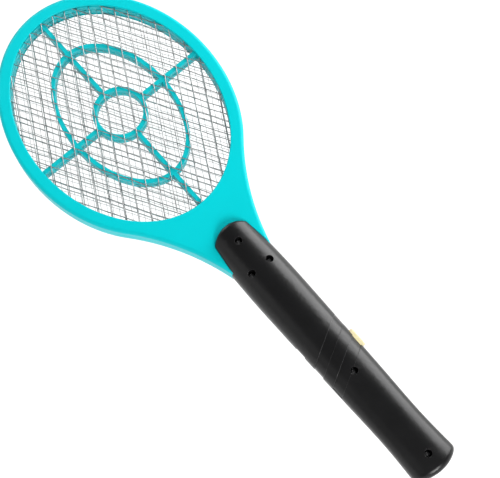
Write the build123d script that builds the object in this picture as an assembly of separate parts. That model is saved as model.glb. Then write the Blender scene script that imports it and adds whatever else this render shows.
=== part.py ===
"""Electric fly swatter: an oval head with three wire grids, and a battery handle.

Millimetres, +Z up. The swatter lies on its front face, so the face with the screws looks up. +Y points
to the tip of the head. Everything is laid out from the centre of the head; export_part() then moves it
so that the origin is at the middle of the overall length, on the surface that the swatter lies on.
Stations are distances from the centre of the head towards the end of the handle.
"""

import math
import os

from build123d import *

# Head
HEAD_HALF_LENGTH = 109.7
HEAD_HALF_WIDTH = 87.5
HEAD_THICKNESS = 18.0
RIM_WIDTH = 10.4
LIP_THICKNESS = 1.4
RIM_OUTER_ROUND = 3.2
RIM_LIP_ROUND = 0.8
RIM_SEAM_BEVEL = 0.3
HOOP_WIDTH = 4.0
HOOP_FIT = 0.2
SEAM_KEY = 0.8
SEAM_KEY_FIT = 0.1

# Ribs of the spacer webs
RIB_WIDTH = 3.5
RIB_BEVEL = 0.3
SMALL_RING_RADIUS = 20.1
MIDDLE_RING_HALF_LENGTH = 65.4
MIDDLE_RING_HALF_WIDTH = 43.2

# Wire grids
OUTER_WIRE = 0.8
OUTER_PITCH = 10.0
INNER_WIRE = 0.36
INNER_PITCH = 4.6
LAYER_GAP = 0.2
GRID_FIT = 0.05
GRID_HALF_ANGLE = 30.0
OUTER_GRID_SEAT = 3.0
INNER_GRID_SEAT = 2.0
SHORTEST_WIRE = 24.0

# Neck of the head and the tang that the handle grips
NECK_START = 80.0
NECK_END = 158.0
NECK_END_HALF_WIDTH = 19.3
TANG_LENGTH = 19.0
TANG_HALF_WIDTH = 12.8
TANG_REAR_DEPTH = 4.0
TANG_FRONT_DEPTH = 2.5
TANG_FIT = 0.15

# Handle
HANDLE_START_GAP = 0.2
HANDLE_SEAM = 12.5
HANDLE_CORNER = 9.5
HANDLE_SEAM_BEVEL = 0.35
WALL = 2.0
END_FACE_RADIUS = 34.0
END_ROUND = 4.8

# Tongues of the handle that lie on the neck
TONGUE_LENGTH = 30.6
TONGUE_TIP_RADIUS = 22.5
TONGUE_HALF_WIDTH = 15.6
TONGUE_ROOT_HALF_WIDTH = 18.8
TONGUE_CORNER = 3.6
TONGUE_ROUND = 2.8
TONGUE_GAP = 0.4
REAR_TONGUE_SINK = 0.8
FRONT_TONGUE_SINK = 3.0

# Grip bands moulded across the handle, placed from the button
GRIP_BAND_PLACES = (-8.9, 11.5)
GRIP_BAND_WIDTH = 9.0
GRIP_BAND_SLANT = 28.0
GRIP_BAND_DEPTH = 0.5

# Screws, all of one size
NECK_SEAT = 19.0
HANDLE_SEAT = 16.2
NECK_SCREW_INSET = 14.8
TANG_SCREW_INSET = 8.0
TANG_SCREW_OFFSET = 8.9
GRIP_SCREW_GAP = 7.3
END_SCREW_INSET = 15.5
SCREW_LENGTH = 14.0
SCREW_RADIUS = 1.4
SCREW_HEAD_RADIUS = 2.7
SCREW_HEAD_HEIGHT = 2.0
SCREW_SLOT_WIDTH = 0.7
SCREW_SLOT_DEPTH = 1.0
SCREW_FIT = 0.04
SCREW_PASS_FIT = 0.2
SCREW_WELL_RADIUS = 3.0
BOSS_WALL = 1.4

# Circuit board and what stands on it; places are distances from the board's start
BOARD_GAP = 6.0
BOARD_LENGTH = 84.0
BOARD_HALF_WIDTH = 11.5
BOARD_THICKNESS = 1.6
BOARD_POST_RADIUS = 2.2
BOARD_POST_INSET = 3.0
PART_FIT = 0.05
CORE_PLACE = 17.0
CORE_SIZE = (16.0, 13.0, 11.5)
CORE_LIMB = 3.0
CAPACITOR_PLACE = 36.0
CAPACITOR_SIZE = (15.0, 7.0, 11.0)
DIODE_PLACE = 47.0
DIODE_PITCH = 4.5
DIODE_COUNT = 3
DIODE_RADIUS = 1.35
DIODE_LENGTH = 5.2
RESISTOR_PLACE = 60.0
RESISTOR_PITCH = 5.0
RESISTOR_COUNT = 2
RESISTOR_RADIUS = 1.25
RESISTOR_LENGTH = 6.5
LEG_RADIUS = 0.3
LEG_REACH = 2.2
LEG_BEND = 0.7
TRANSISTOR_PLACE = 73.0
TRANSISTOR_OFFSET = -5.0
TRANSISTOR_RADIUS = 2.4
TRANSISTOR_HEIGHT = 4.8
TRANSISTOR_STANDOFF = 2.0
LED_PLACE = 53.0
LED_RADIUS = 1.5
LED_FLANGE = 0.4
LED_FLANGE_HEIGHT = 1.0
LED_RECESS = 0.3
LED_FIT = 0.1
LED_LEG_OFFSET = 0.8

# Side button and its switch
BUTTON_PLACE = 73.0
BUTTON_LENGTH = 16.0
BUTTON_HEIGHT = 7.0
BUTTON_PROUD = 2.3
BUTTON_FIT = 0.25
BUTTON_CORNER = 2.4
BUTTON_CROWN = 0.9
BUTTON_TRAVEL = 1.5
BUTTON_FLANGE = 1.1
BUTTON_FLANGE_THICKNESS = 1.2
BUTTON_COLLAR_DEPTH = 1.8
BUTTON_STEM_RADIUS = 2.0
SWITCH_SIZE = 6.5
SWITCH_OFFSET = 6.8
PLUNGER_RADIUS = 1.5
PLUNGER_REST_REACH = 2.1
PLUNGER_INSERT = 0.7
PLUNGER_FIT = 0.1

# Battery bay
CELL_RADIUS = 7.1
CELL_LENGTH = 49.3
CELL_NUB_RADIUS = 2.75
CELL_NUB_HEIGHT = 1.2
CELL_ROUND = 0.6
CELL_GAP = 0.5
CELL_DOOR_GAP = 0.4
BAY_GAP = 15.0
BAY_WALL = 1.8
CONTACT_THICKNESS = 0.4
CONTACT_HALF_WIDTH = 4.5
CONTACT_FIT = 0.1
SPRING_WIRE = 0.7
SPRING_TURNS = 2.5
SPRING_LARGE_RADIUS = 4.2
SPRING_SMALL_RADIUS = 2.6
SPRING_ROOM = 4.75
CRADLE_PLACES = (18.0, 44.0)
CRADLE_THICKNESS = 1.6
CRADLE_FIT = 0.3

# Battery door
DOOR_START_GAP = 2.5
DOOR_END_GAP = 6.0
DOOR_HALF_WIDTH = 13.0
DOOR_GAP = 0.3
DOOR_TAB_WIDTH = 4.8
DOOR_TAB_REACH = 2.4
DOOR_TAB_ROOT = 1.5
DOOR_TAB_THICKNESS = 1.2
DOOR_TAB_CLEARANCE = 0.2
DOOR_TAB_SLOT = 5.2
DOOR_NOTCH_RADIUS = 6.0
DOOR_NOTCH_DEPTH = 0.9
DOOR_LATCH_WIDTH = 7.0
DOOR_LATCH_HEIGHT = 2.2
DOOR_LATCH_THICKNESS = 1.4

# Leads
LEAD_RADIUS = 0.8
LEAD_OFFSET = 5.0
BATTERY_LEAD_OFFSET = 6.5
LEAD_FIT = 0.1
LEAD_ON_BOARD = 6.0
GRID_CONTACT_WIDTH = 4.0
GRID_CONTACT_THICKNESS = 0.5
GRID_CONTACT_GAP = 0.3

# Worked out from the sizes above
HEAD_SEAM = HEAD_THICKNESS / 2
OPENING_HALF_LENGTH = HEAD_HALF_LENGTH - RIM_WIDTH
OPENING_HALF_WIDTH = HEAD_HALF_WIDTH - RIM_WIDTH
OUTER_GRID_ROOM = 2 * OUTER_WIRE + LAYER_GAP + 2 * GRID_FIT
INNER_GRID_ROOM = 2 * INNER_WIRE + LAYER_GAP + 2 * GRID_FIT
HOOP_TOP = HEAD_SEAM - LIP_THICKNESS - OUTER_GRID_ROOM
HOOP_BOTTOM = INNER_GRID_ROOM / 2
TONGUE_TIP = NECK_END - TONGUE_LENGTH
HANDLE_START = NECK_END + HANDLE_START_GAP
TANG_END = NECK_END + TANG_LENGTH
BOARD_START = TANG_END + BOARD_GAP
BOARD_END = BOARD_START + BOARD_LENGTH
BOARD_TOP = HEAD_SEAM - LEAD_RADIUS - PART_FIT
BOARD_BOTTOM = BOARD_TOP - BOARD_THICKNESS
CORE_STATION = BOARD_START + CORE_PLACE
CAPACITOR_STATION = BOARD_START + CAPACITOR_PLACE
DIODE_STATION = BOARD_START + DIODE_PLACE
RESISTOR_STATION = BOARD_START + RESISTOR_PLACE
TRANSISTOR_STATION = BOARD_START + TRANSISTOR_PLACE
LED_STATION = BOARD_START + LED_PLACE
BUTTON_STATION = BOARD_START + BUTTON_PLACE
BAY_WALL_START = BOARD_END + BAY_GAP
NEAR_PLATE = BAY_WALL_START + BAY_WALL + PART_FIT
NEAR_FACE = NEAR_PLATE + CONTACT_THICKNESS
FAR_PLATE = NEAR_FACE + PART_FIT + CELL_NUB_HEIGHT + CELL_LENGTH + SPRING_ROOM
BAY_WALL_END = FAR_PLATE + CONTACT_THICKNESS + PART_FIT
CELL_HEIGHT = WALL + CELL_DOOR_GAP + CELL_RADIUS
CELL_OFFSET = CELL_RADIUS + CELL_GAP / 2
DOOR_START = BAY_WALL_START + DOOR_START_GAP
DOOR_END = BAY_WALL_END + DOOR_END_GAP
DOOR_HINGE = DOOR_START + DOOR_GAP

# Handle: (station, half width, height of the rear crown above the surface)
HANDLE_END = BAY_WALL_END + 30.0
HANDLE_STATIONS = (
    (TONGUE_TIP - 1.0, 18.8, 26.7),
    (HANDLE_START, 19.4, 27.0),
    (TANG_END + 8.0, 20.0, 27.0),
    (TANG_END + 44.0, 19.7, 26.4),
    (BAY_WALL_START - 8.0, 19.2, 25.2),
    (BAY_WALL_START + 30.0, 18.4, 24.3),
    (BAY_WALL_END + 6.0, 18.8, 24.3),
    (BAY_WALL_END + 16.0, 19.3, 24.6),
    (HANDLE_END + 1.0, 19.5, 24.7),
)

# Screws: (station, offset from the centre line, height of the seat)
SCREW_PLACES = (
    (NECK_END - NECK_SCREW_INSET, 0.0, NECK_SEAT),
    (TANG_END - TANG_SCREW_INSET, TANG_SCREW_OFFSET, HANDLE_SEAT),
    (TANG_END - TANG_SCREW_INSET, -TANG_SCREW_OFFSET, HANDLE_SEAT),
    (BOARD_END + GRIP_SCREW_GAP, 0.0, HANDLE_SEAT),
    (HANDLE_END - END_SCREW_INSET, 0.0, HANDLE_SEAT),
)
HEAD_CENTRE_Y = (HANDLE_END - HEAD_HALF_LENGTH) / 2
FAR = 600.0


# ---------------------------------------------------------------- shared shapes


def slab(sketch, low, high):
    """The sketch as a plate between two heights."""
    return extrude(Pos(0, 0, low) * sketch, high - low)


def block(x_low, x_high, start, end, z_low, z_high):
    """A box between two sides, two stations and two heights."""
    size = (x_high - x_low, end - start, z_high - z_low)
    middle = ((x_low + x_high) / 2, -(start + end) / 2, (z_low + z_high) / 2)
    return Pos(*middle) * Box(*size)


def post(x, station, radius, low, high):
    """An upright cylinder."""
    return Pos(x, -station, (low + high) / 2) * Cylinder(radius, high - low)


def rod_along_y(x, z, radius, start, end):
    """A cylinder along the handle, between two stations."""
    return Pos(x, -(start + end) / 2, z) * Rot(90, 0, 0) * Cylinder(radius, end - start)


def rod_along_x(station, z, radius, x_low, x_high):
    """A cylinder across the handle."""
    return Pos((x_low + x_high) / 2, -station, z) * Rot(0, 90, 0) * Cylinder(radius, x_high - x_low)


def oval(half_width, half_length):
    return Ellipse(half_width, half_length)


def ring(half_width, half_length, width):
    """An oval ring whose middle line has the given half sizes."""
    outer = oval(half_width + width / 2, half_length + width / 2)
    return outer - oval(half_width - width / 2, half_length - width / 2)


# ---------------------------------------------------------------- head


def head_outline(inset=0.0):
    """Plan of the head and of its neck, which leaves the oval along a tangent."""
    half_width = HEAD_HALF_WIDTH - inset
    half_length = HEAD_HALF_LENGTH - inset
    start_x = half_width * math.sqrt(1 - (NECK_START / half_length) ** 2)
    slope = (half_width / half_length) ** 2 * NECK_START / start_x
    flare = TangentArc(
        (start_x, -NECK_START),
        (NECK_END_HALF_WIDTH - inset, -NECK_END),
        tangent=(-slope, -1),
    )
    other_flare = mirror(flare, Plane.YZ)
    root = Line(other_flare @ 0, flare @ 0)
    end = Line(flare @ 1, other_flare @ 1)
    neck = make_face(flare + end + other_flare + root)
    return oval(half_width, half_length) + neck


def seam_key(fit):
    """Raised key that lines up the two halves of the head, inside the rim's outer wall."""
    middle = (RIM_WIDTH - HOOP_WIDTH) / 2
    key_width = 2 * SEAM_KEY + 2 * fit
    track = ring(HEAD_HALF_WIDTH - middle, HEAD_HALF_LENGTH - middle, key_width)
    return track - Pos(0, -NECK_END / 2 - NECK_START / 2) * Rectangle(HEAD_HALF_WIDTH * 2, NECK_END - NECK_START)


def tongue_outline(gap=0.0):
    """Plan of a tongue of the handle: a broad round tip, and sides that widen to the handle."""
    half_width = TONGUE_HALF_WIDTH + gap
    root_half_width = TONGUE_ROOT_HALF_WIDTH + gap
    radius = TONGUE_TIP_RADIUS + gap
    shoulder = TONGUE_TIP - gap + radius - math.sqrt(radius**2 - half_width**2)
    tip = ThreePointArc((-half_width, -shoulder), (0, gap - TONGUE_TIP), (half_width, -shoulder))
    right = Line(tip @ 1, (root_half_width, -HANDLE_START))
    root = Line(right @ 1, (-root_half_width, -HANDLE_START))
    left = Line(root @ 1, tip @ 0)
    outline = make_face(tip + right + root + left)
    shoulders = outline.vertices().group_by(Axis.Y)[-1]
    return fillet(shoulders, TONGUE_CORNER)


def frame_half(depth_of_tang):
    """One half of the head, with its seam at height 0 and its outer face up."""
    body = slab(head_outline(), 0, HEAD_SEAM)
    rim_edges = body.faces().sort_by(Axis.Z)[-1].edges()
    outer_edges = [edge for edge in rim_edges if (edge @ 0.5).Y > -NECK_END + 1]
    body = fillet(outer_edges, RIM_OUTER_ROUND)
    seam_edges = [edge for edge in body.faces().sort_by(Axis.Z)[0].edges() if (edge @ 0.5).Y > -NECK_END + 1]
    body = chamfer(seam_edges, RIM_SEAM_BEVEL)
    tang = block(-TANG_HALF_WIDTH, TANG_HALF_WIDTH, NECK_END - 1, TANG_END, 0, depth_of_tang)
    body += tang
    hoop_seat = oval(
        OPENING_HALF_WIDTH + HOOP_WIDTH + HOOP_FIT,
        OPENING_HALF_LENGTH + HOOP_WIDTH + HOOP_FIT,
    )
    body -= slab(hoop_seat, -1, HEAD_SEAM - LIP_THICKNESS)
    body -= slab(oval(OPENING_HALF_WIDTH, OPENING_HALF_LENGTH), -1, HEAD_SEAM + 1)
    lip_edges = [
        edge
        for edge in body.faces().sort_by(Axis.Z)[-1].inner_wires().edges()
    ]
    body = fillet(lip_edges, RIM_LIP_ROUND)
    groove_radius = LEAD_RADIUS + LEAD_FIT
    for side in (-1, 1):
        body -= rod_along_y(side * LEAD_OFFSET, 0, groove_radius, OPENING_HALF_LENGTH, TANG_END + 1)
    return body


def screw_shanks(radius, low, high):
    """Uprights at the neck's three screws."""
    shanks = [
        post(offset, station, radius, low, high)
        for station, offset, seat in SCREW_PLACES
        if station < TANG_END
    ]
    return shanks


def frame_rear():
    half = frame_half(TANG_REAR_DEPTH)
    half -= slab(seam_key(SEAM_KEY_FIT), -1, SEAM_KEY + SEAM_KEY_FIT)
    half -= slab(tongue_outline(TONGUE_GAP), HEAD_SEAM - REAR_TONGUE_SINK, HEAD_SEAM + 1)
    body = Pos(0, 0, HEAD_SEAM) * half
    for shank in screw_shanks(SCREW_RADIUS + SCREW_PASS_FIT, HEAD_SEAM - 1, HEAD_THICKNESS + 1):
        body -= shank
    return body


def frame_front():
    half = frame_half(TANG_FRONT_DEPTH)
    half -= slab(tongue_outline(TONGUE_GAP), HEAD_SEAM - FRONT_TONGUE_SINK, HEAD_SEAM + 1)
    half += slab(seam_key(0), -SEAM_KEY, 0)
    body = Pos(0, 0, HEAD_SEAM) * mirror(half, Plane.XY)
    for shank in screw_shanks(SCREW_RADIUS + SCREW_FIT, -1, HEAD_SEAM + 1):
        body -= shank
    return body


def spacer_web():
    """Hoop, two rings and four spokes, with the seam at height 0 and the outer grid's side up."""
    hoop_middle_width = OPENING_HALF_WIDTH + HOOP_WIDTH / 2
    hoop_middle_length = OPENING_HALF_LENGTH + HOOP_WIDTH / 2
    plan = ring(hoop_middle_width, hoop_middle_length, HOOP_WIDTH)
    plan += ring(MIDDLE_RING_HALF_WIDTH, MIDDLE_RING_HALF_LENGTH, RIB_WIDTH)
    plan += ring(SMALL_RING_RADIUS, SMALL_RING_RADIUS, RIB_WIDTH)
    spoke_length = OPENING_HALF_LENGTH + HOOP_WIDTH / 2 - SMALL_RING_RADIUS
    spoke_width = OPENING_HALF_WIDTH + HOOP_WIDTH / 2 - SMALL_RING_RADIUS
    for side in (-1, 1):
        plan += Pos(0, side * (SMALL_RING_RADIUS + spoke_length / 2)) * Rectangle(RIB_WIDTH, spoke_length)
        plan += Pos(side * (SMALL_RING_RADIUS + spoke_width / 2), 0) * Rectangle(spoke_width, RIB_WIDTH)
    web = slab(plan, HOOP_BOTTOM, HOOP_TOP)
    web = chamfer(web.faces().sort_by(Axis.Z)[-1].inner_wires().edges(), RIB_BEVEL)
    contact_start = OPENING_HALF_LENGTH + OUTER_GRID_SEAT - GRID_CONTACT_GAP
    slot_half = GRID_CONTACT_WIDTH / 2 + GRID_CONTACT_GAP
    for side in (-1, 1):
        middle = side * LEAD_OFFSET
        web -= block(middle - slot_half, middle + slot_half, contact_start, TANG_END, -1, HEAD_SEAM)
        web -= rod_along_y(middle, 0, LEAD_RADIUS + LEAD_FIT, OPENING_HALF_LENGTH + 1, TANG_END)
    return web


def spacer_web_rear():
    return Pos(0, 0, HEAD_SEAM) * spacer_web()


def spacer_web_front():
    return Pos(0, 0, HEAD_SEAM) * mirror(spacer_web(), Plane.XY)


def wire_layer(half_width, half_length, wire, pitch, slant, height):
    """Parallel straight wires whose ends lie on an oval; slant is measured from +Y."""
    turn = math.radians(slant)
    along = (math.sin(turn), math.cos(turn))
    across = (math.cos(turn), -math.sin(turn))
    reach = math.hypot(half_width * across[0], half_length * across[1])
    steepness = (along[0] / half_width) ** 2 + (along[1] / half_length) ** 2
    wires = []
    for index in range(-int(reach / pitch), int(reach / pitch) + 1):
        foot = (across[0] * index * pitch, across[1] * index * pitch)
        lean = foot[0] * along[0] / half_width**2 + foot[1] * along[1] / half_length**2
        share = (foot[0] / half_width) ** 2 + (foot[1] / half_length) ** 2
        half_chord = math.sqrt(lean**2 + steepness * (1 - share)) / steepness
        middle = -lean / steepness
        if 2 * half_chord < SHORTEST_WIRE:
            continue
        centre = (foot[0] + along[0] * middle, foot[1] + along[1] * middle, height)
        wires.append(Pos(*centre) * Rot(0, 0, -slant) * Rot(90, 0, 0) * Cylinder(wire / 2, 2 * half_chord))
    return wires


def wire_grid(seat, wire, pitch, middle_height):
    """Two layers of wires that cross in diamonds, long along the handle."""
    half_width = OPENING_HALF_WIDTH + seat
    half_length = OPENING_HALF_LENGTH + seat
    step = (wire + LAYER_GAP) / 2
    wires = []
    for side in (-1, 1):
        height = middle_height + side * step
        wires += wire_layer(half_width, half_length, wire, pitch, side * GRID_HALF_ANGLE, height)
    return Compound(wires)


def outer_grid_rear():
    height = HEAD_THICKNESS - LIP_THICKNESS - OUTER_GRID_ROOM / 2
    return wire_grid(OUTER_GRID_SEAT, OUTER_WIRE, OUTER_PITCH, height)


def outer_grid_front():
    height = LIP_THICKNESS + OUTER_GRID_ROOM / 2
    return wire_grid(OUTER_GRID_SEAT, OUTER_WIRE, OUTER_PITCH, height)


def inner_grid():
    return wire_grid(INNER_GRID_SEAT, INNER_WIRE, INNER_PITCH, HEAD_SEAM)


# ---------------------------------------------------------------- handle


def section_plane(station):
    return Plane(origin=(0, -station, HANDLE_SEAM), x_dir=(1, 0, 0), z_dir=(0, -1, 0))


def rear_section(station, half_width, height):
    """Half oval above the seam."""
    crown = EllipticalCenterArc((0, 0), half_width, height, start_angle=0, arc_size=180)
    base = Line(crown @ 1, crown @ 0)
    return section_plane(station) * make_face(crown + base)


def front_section(station, half_width, depth, corner):
    """Flat-bottomed half with round corners, below the seam."""
    flat = half_width - corner
    right = Line((half_width, 0), (half_width, corner - depth))
    right_round = CenterArc((flat, corner - depth), corner, -90, 90)
    bottom = Line((flat, -depth), (-flat, -depth))
    left_round = CenterArc((-flat, corner - depth), corner, 180, 90)
    left = Line((-half_width, corner - depth), (-half_width, 0))
    seam = Line((-half_width, 0), (half_width, 0))
    edges = right + right_round + bottom + left_round + left + seam
    return section_plane(station) * make_face(edges)


def half_section(rear, station, half_width, crown, inset):
    if rear:
        return rear_section(station, half_width - inset, crown - HANDLE_SEAM - inset)
    return front_section(station, half_width - inset, HANDLE_SEAM - inset, HANDLE_CORNER - inset)


def handle_solid(rear, inset=0.0, start=HANDLE_START):
    """The rear or front half of the handle from a station to its end, drawn in from its surface by inset."""
    body = loft([half_section(rear, *place, inset) for place in HANDLE_STATIONS])
    end_centre = HANDLE_END - END_FACE_RADIUS
    end_curve = post(0, end_centre, END_FACE_RADIUS - inset, -FAR, FAR)
    body -= block(-FAR, FAR, end_centre, FAR, -FAR, FAR) - end_curve
    body -= block(-FAR, FAR, 0, start, -FAR, FAR)
    end_face = body.faces().sort_by(Axis.Y)[0]
    end_edges = [edge for edge in end_face.edges() if abs((edge @ 0.5).Z - HANDLE_SEAM) > inset + 1]
    return fillet(end_edges, END_ROUND - inset)


def bevelled_seam(half):
    """The half of the handle with a small bevel on the edge where it meets the other half."""
    seam_face = [face for face in half.faces() if abs(face.center().Z - HANDLE_SEAM) < PART_FIT][0]
    edges = [edge for edge in seam_face.edges() if (edge @ 0.5).Y < -HANDLE_START - 1]
    return chamfer(edges, HANDLE_SEAM_BEVEL)


def grip_bands(rear):
    """Shallow bands that cross the handle on a slant, cut below its surface."""
    skin = handle_solid(rear) - handle_solid(rear, GRIP_BAND_DEPTH)
    bands = []
    for place in GRIP_BAND_PLACES:
        slant = GRIP_BAND_SLANT if rear else -GRIP_BAND_SLANT
        band = Pos(0, -BUTTON_STATION - place, HANDLE_SEAM) * Rot(0, 0, slant) * Box(FAR, GRIP_BAND_WIDTH, FAR)
        bands.append(band & skin)
    return bands


def button_well(grow, x_low, x_high):
    """Rounded prism across the handle's side, as large as the button plus grow."""
    plan = RectangleRounded(BUTTON_LENGTH + 2 * grow, BUTTON_HEIGHT + 2 * grow, BUTTON_CORNER + grow)
    plane = Plane(origin=(x_low, -BUTTON_STATION, HANDLE_SEAM), x_dir=(0, 1, 0), z_dir=(1, 0, 0))
    return extrude(plane * plan, x_high - x_low)


def button_side():
    """Half width of the handle at the button, read along the straight line between its stations."""
    (near, near_width, _), (far, far_width, _) = HANDLE_STATIONS[3:5]
    share = (BUTTON_STATION - near) / (far - near)
    return near_width + (far_width - near_width) * share


COLLAR_FACE = button_side() - WALL - BUTTON_COLLAR_DEPTH


def screw_bosses(tang_face, seam_side_first):
    """Bosses of the handle's screws, from the tang's face or from the seam, ready to be trimmed."""
    bosses = []
    for station, offset, seat in SCREW_PLACES:
        face = HANDLE_SEAM if station > TANG_END else tang_face
        low, high = (face, FAR) if seam_side_first else (0, face)
        if station > HANDLE_START:
            bosses.append(post(offset, station, SCREW_WELL_RADIUS + BOSS_WALL, low, high))
    return bosses


def handle_shell_rear():
    outer = bevelled_seam(handle_solid(True))
    shell = outer - handle_solid(True, WALL, HANDLE_START + WALL)
    inside = screw_bosses(HEAD_SEAM + TANG_REAR_DEPTH + TANG_FIT, True)
    inside += [post(x, station, BOARD_POST_RADIUS, BOARD_TOP + PART_FIT, FAR) for x, station in board_posts()]
    inside += [cradle(BAY_WALL_START + place) for place in CRADLE_PLACES]
    inside.append(button_well(BUTTON_FIT + BUTTON_FLANGE, COLLAR_FACE, button_side()))
    tongue_bottom = HEAD_THICKNESS - REAR_TONGUE_SINK
    tongue = slab(tongue_outline(), tongue_bottom, FAR) & handle_solid(True, start=TONGUE_TIP - 1)
    tongue &= block(-FAR, FAR, 0, HANDLE_START + WALL, 0, FAR)
    tip_edges = tongue.edges().filter_by(lambda edge: is_tongue_rim(edge, tongue_bottom))
    shell += [fillet(tip_edges, TONGUE_ROUND), outer & (inside[0] + inside[1:])]
    cuts = grip_bands(True) + [button_well(BUTTON_FIT, 0, FAR), tang_slot()]
    for station, offset, seat in SCREW_PLACES:
        cuts.append(post(offset, station, SCREW_WELL_RADIUS, seat, FAR))
        cuts.append(post(offset, station, SCREW_RADIUS + SCREW_PASS_FIT, -1, seat + 1))
    return shell - cuts


def is_tongue_rim(edge, tongue_bottom):
    """Whether an edge runs round the top of the tongue, ahead of the handle's body."""
    middle = edge @ 0.5
    level = abs((edge @ 0).Z - (edge @ 1).Z) < LIP_THICKNESS * 4
    return middle.Z > tongue_bottom + 1 and middle.Y > -HANDLE_START + 1 and level


def cradle(station):
    """Rib across the rear shell that the two cells lie against."""
    width = 2 * (CELL_OFFSET + CELL_RADIUS)
    rib = block(-width, width, station - CRADLE_THICKNESS / 2, station + CRADLE_THICKNESS / 2, HANDLE_SEAM, FAR)
    for side in (-1, 1):
        rib -= rod_along_y(side * CELL_OFFSET, CELL_HEIGHT, CELL_RADIUS + CRADLE_FIT, station - 2, station + 2)
    return rib


def tang_slot():
    """Way in for the tang through the handle's front wall."""
    half_width = TANG_HALF_WIDTH + TANG_FIT
    low = HEAD_SEAM - TANG_FRONT_DEPTH - TANG_FIT
    high = HEAD_SEAM + TANG_REAR_DEPTH + TANG_FIT
    return block(-half_width, half_width, HANDLE_START - 1, HANDLE_START + WALL + 1, low, high)


def board_posts():
    """Places of the four posts that hold the circuit board."""
    x = BOARD_HALF_WIDTH - BOARD_POST_INSET
    stations = (BOARD_START + BOARD_POST_INSET, BOARD_END - BOARD_POST_INSET)
    return [(side * x, station) for side in (-1, 1) for station in stations]


def handle_shell_front():
    outer = bevelled_seam(handle_solid(False))
    shell = outer - handle_solid(False, WALL, HANDLE_START + WALL)
    inside = screw_bosses(HEAD_SEAM - TANG_FRONT_DEPTH - TANG_FIT, False)
    inside += [post(x, station, BOARD_POST_RADIUS, 0, BOARD_BOTTOM - PART_FIT) for x, station in board_posts()]
    inside += [block(-FAR, FAR, start, start + BAY_WALL, 0, HANDLE_SEAM) for start in (BAY_WALL_START, BAY_WALL_END)]
    inside.append(button_well(BUTTON_FIT + BUTTON_FLANGE, COLLAR_FACE, button_side()))
    tongue = slab(tongue_outline(), 0, FRONT_TONGUE_SINK - TONGUE_GAP / 2)
    shell += [tongue, outer & (inside[0] + inside[1:])]
    cuts = grip_bands(False) + [button_well(BUTTON_FIT, 0, FAR), tang_slot()]
    for station, offset, seat in SCREW_PLACES:
        cuts.append(post(offset, station, SCREW_RADIUS + SCREW_FIT, seat - SCREW_LENGTH - PART_FIT, FAR))
    cuts.append(block(-DOOR_HALF_WIDTH, DOOR_HALF_WIDTH, DOOR_START, DOOR_END, -1, WALL + 1))
    half = DOOR_TAB_WIDTH / 2 + DOOR_GAP
    cuts.append(block(-half, half, BAY_WALL_START - 1, DOOR_START + 1, WALL, DOOR_TAB_SLOT))
    for side in (-1, 1):
        lead = side * BATTERY_LEAD_OFFSET
        cuts.append(rod_along_y(lead, HEAD_SEAM, LEAD_RADIUS + LEAD_FIT, BAY_WALL_START - 1, DOOR_START))
    cuts.append(post(0, LED_STATION, LED_RADIUS + LED_FIT, -1, WALL + 1))
    return shell - cuts


def housing_screws():
    screws = []
    for station, offset, seat in SCREW_PLACES:
        screw = post(offset, station, SCREW_RADIUS, seat - SCREW_LENGTH, seat)
        head = post(offset, station, SCREW_HEAD_RADIUS, seat, seat + SCREW_HEAD_HEIGHT)
        head = chamfer(head.edges().sort_by(Axis.Z)[-1], SCREW_HEAD_HEIGHT / 3)
        for turn in (0, 90):
            slot = Box(2 * SCREW_HEAD_RADIUS / 1.5, SCREW_SLOT_WIDTH, SCREW_SLOT_DEPTH)
            top = seat + SCREW_HEAD_HEIGHT - SCREW_SLOT_DEPTH / 2
            head -= Pos(offset, -station, top) * Rot(0, 0, turn) * slot
        screws.append(screw + head)
    return Compound(screws)


# ---------------------------------------------------------------- electronics


def circuit_board():
    board = block(-BOARD_HALF_WIDTH, BOARD_HALF_WIDTH, BOARD_START, BOARD_END, BOARD_BOTTOM, BOARD_TOP)
    corners = board.edges().filter_by(Axis.Z)
    return fillet(corners, 1.0)


def transformer_core():
    """Ferrite core: a closed window frame with a middle limb, standing on the board."""
    width, length, height = CORE_SIZE
    low = BOARD_TOP + PART_FIT
    start = CORE_STATION - length / 4
    end = CORE_STATION + length / 4
    core = block(-width / 2, width / 2, start, end, low, low + height)
    window = (width - 4 * CORE_LIMB) / 2
    for side in (-1, 1):
        middle = side * (CORE_LIMB + window / 2)
        core -= block(middle - window / 2, middle + window / 2, start - 1, end + 1, low + CORE_LIMB, low + height - CORE_LIMB)
    return core


def transformer_winding():
    """Coil and its bobbin round the middle limb."""
    width, length, height = CORE_SIZE
    low = BOARD_TOP + PART_FIT + CORE_LIMB + PART_FIT
    high = BOARD_TOP + PART_FIT + height - CORE_LIMB - PART_FIT
    half_width = width / 2 - CORE_LIMB - PART_FIT
    start = CORE_STATION - length / 2
    end = CORE_STATION + length / 2
    coil = block(-half_width, half_width, start, end, low, high)
    coil = fillet(coil.edges().filter_by(Axis.Z), 1.0)
    limb_start = CORE_STATION - length / 4 - PART_FIT
    limb_end = CORE_STATION + length / 4 + PART_FIT
    limb = CORE_LIMB + PART_FIT
    return coil - block(-limb, limb, limb_start, limb_end, low - 1, high + 1)


def storage_capacitor():
    """Film capacitor on two legs."""
    width, length, height = CAPACITOR_SIZE
    low = BOARD_TOP + LEG_REACH / 4
    start = CAPACITOR_STATION - length / 2
    body = block(-width / 2, width / 2, start, start + length, low, low + height)
    body = fillet(body.edges(), 0.8)
    for side in (-1, 1):
        body += post(side * width / 3, CAPACITOR_STATION, LEG_RADIUS, BOARD_TOP, low + 1)
    return body


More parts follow.
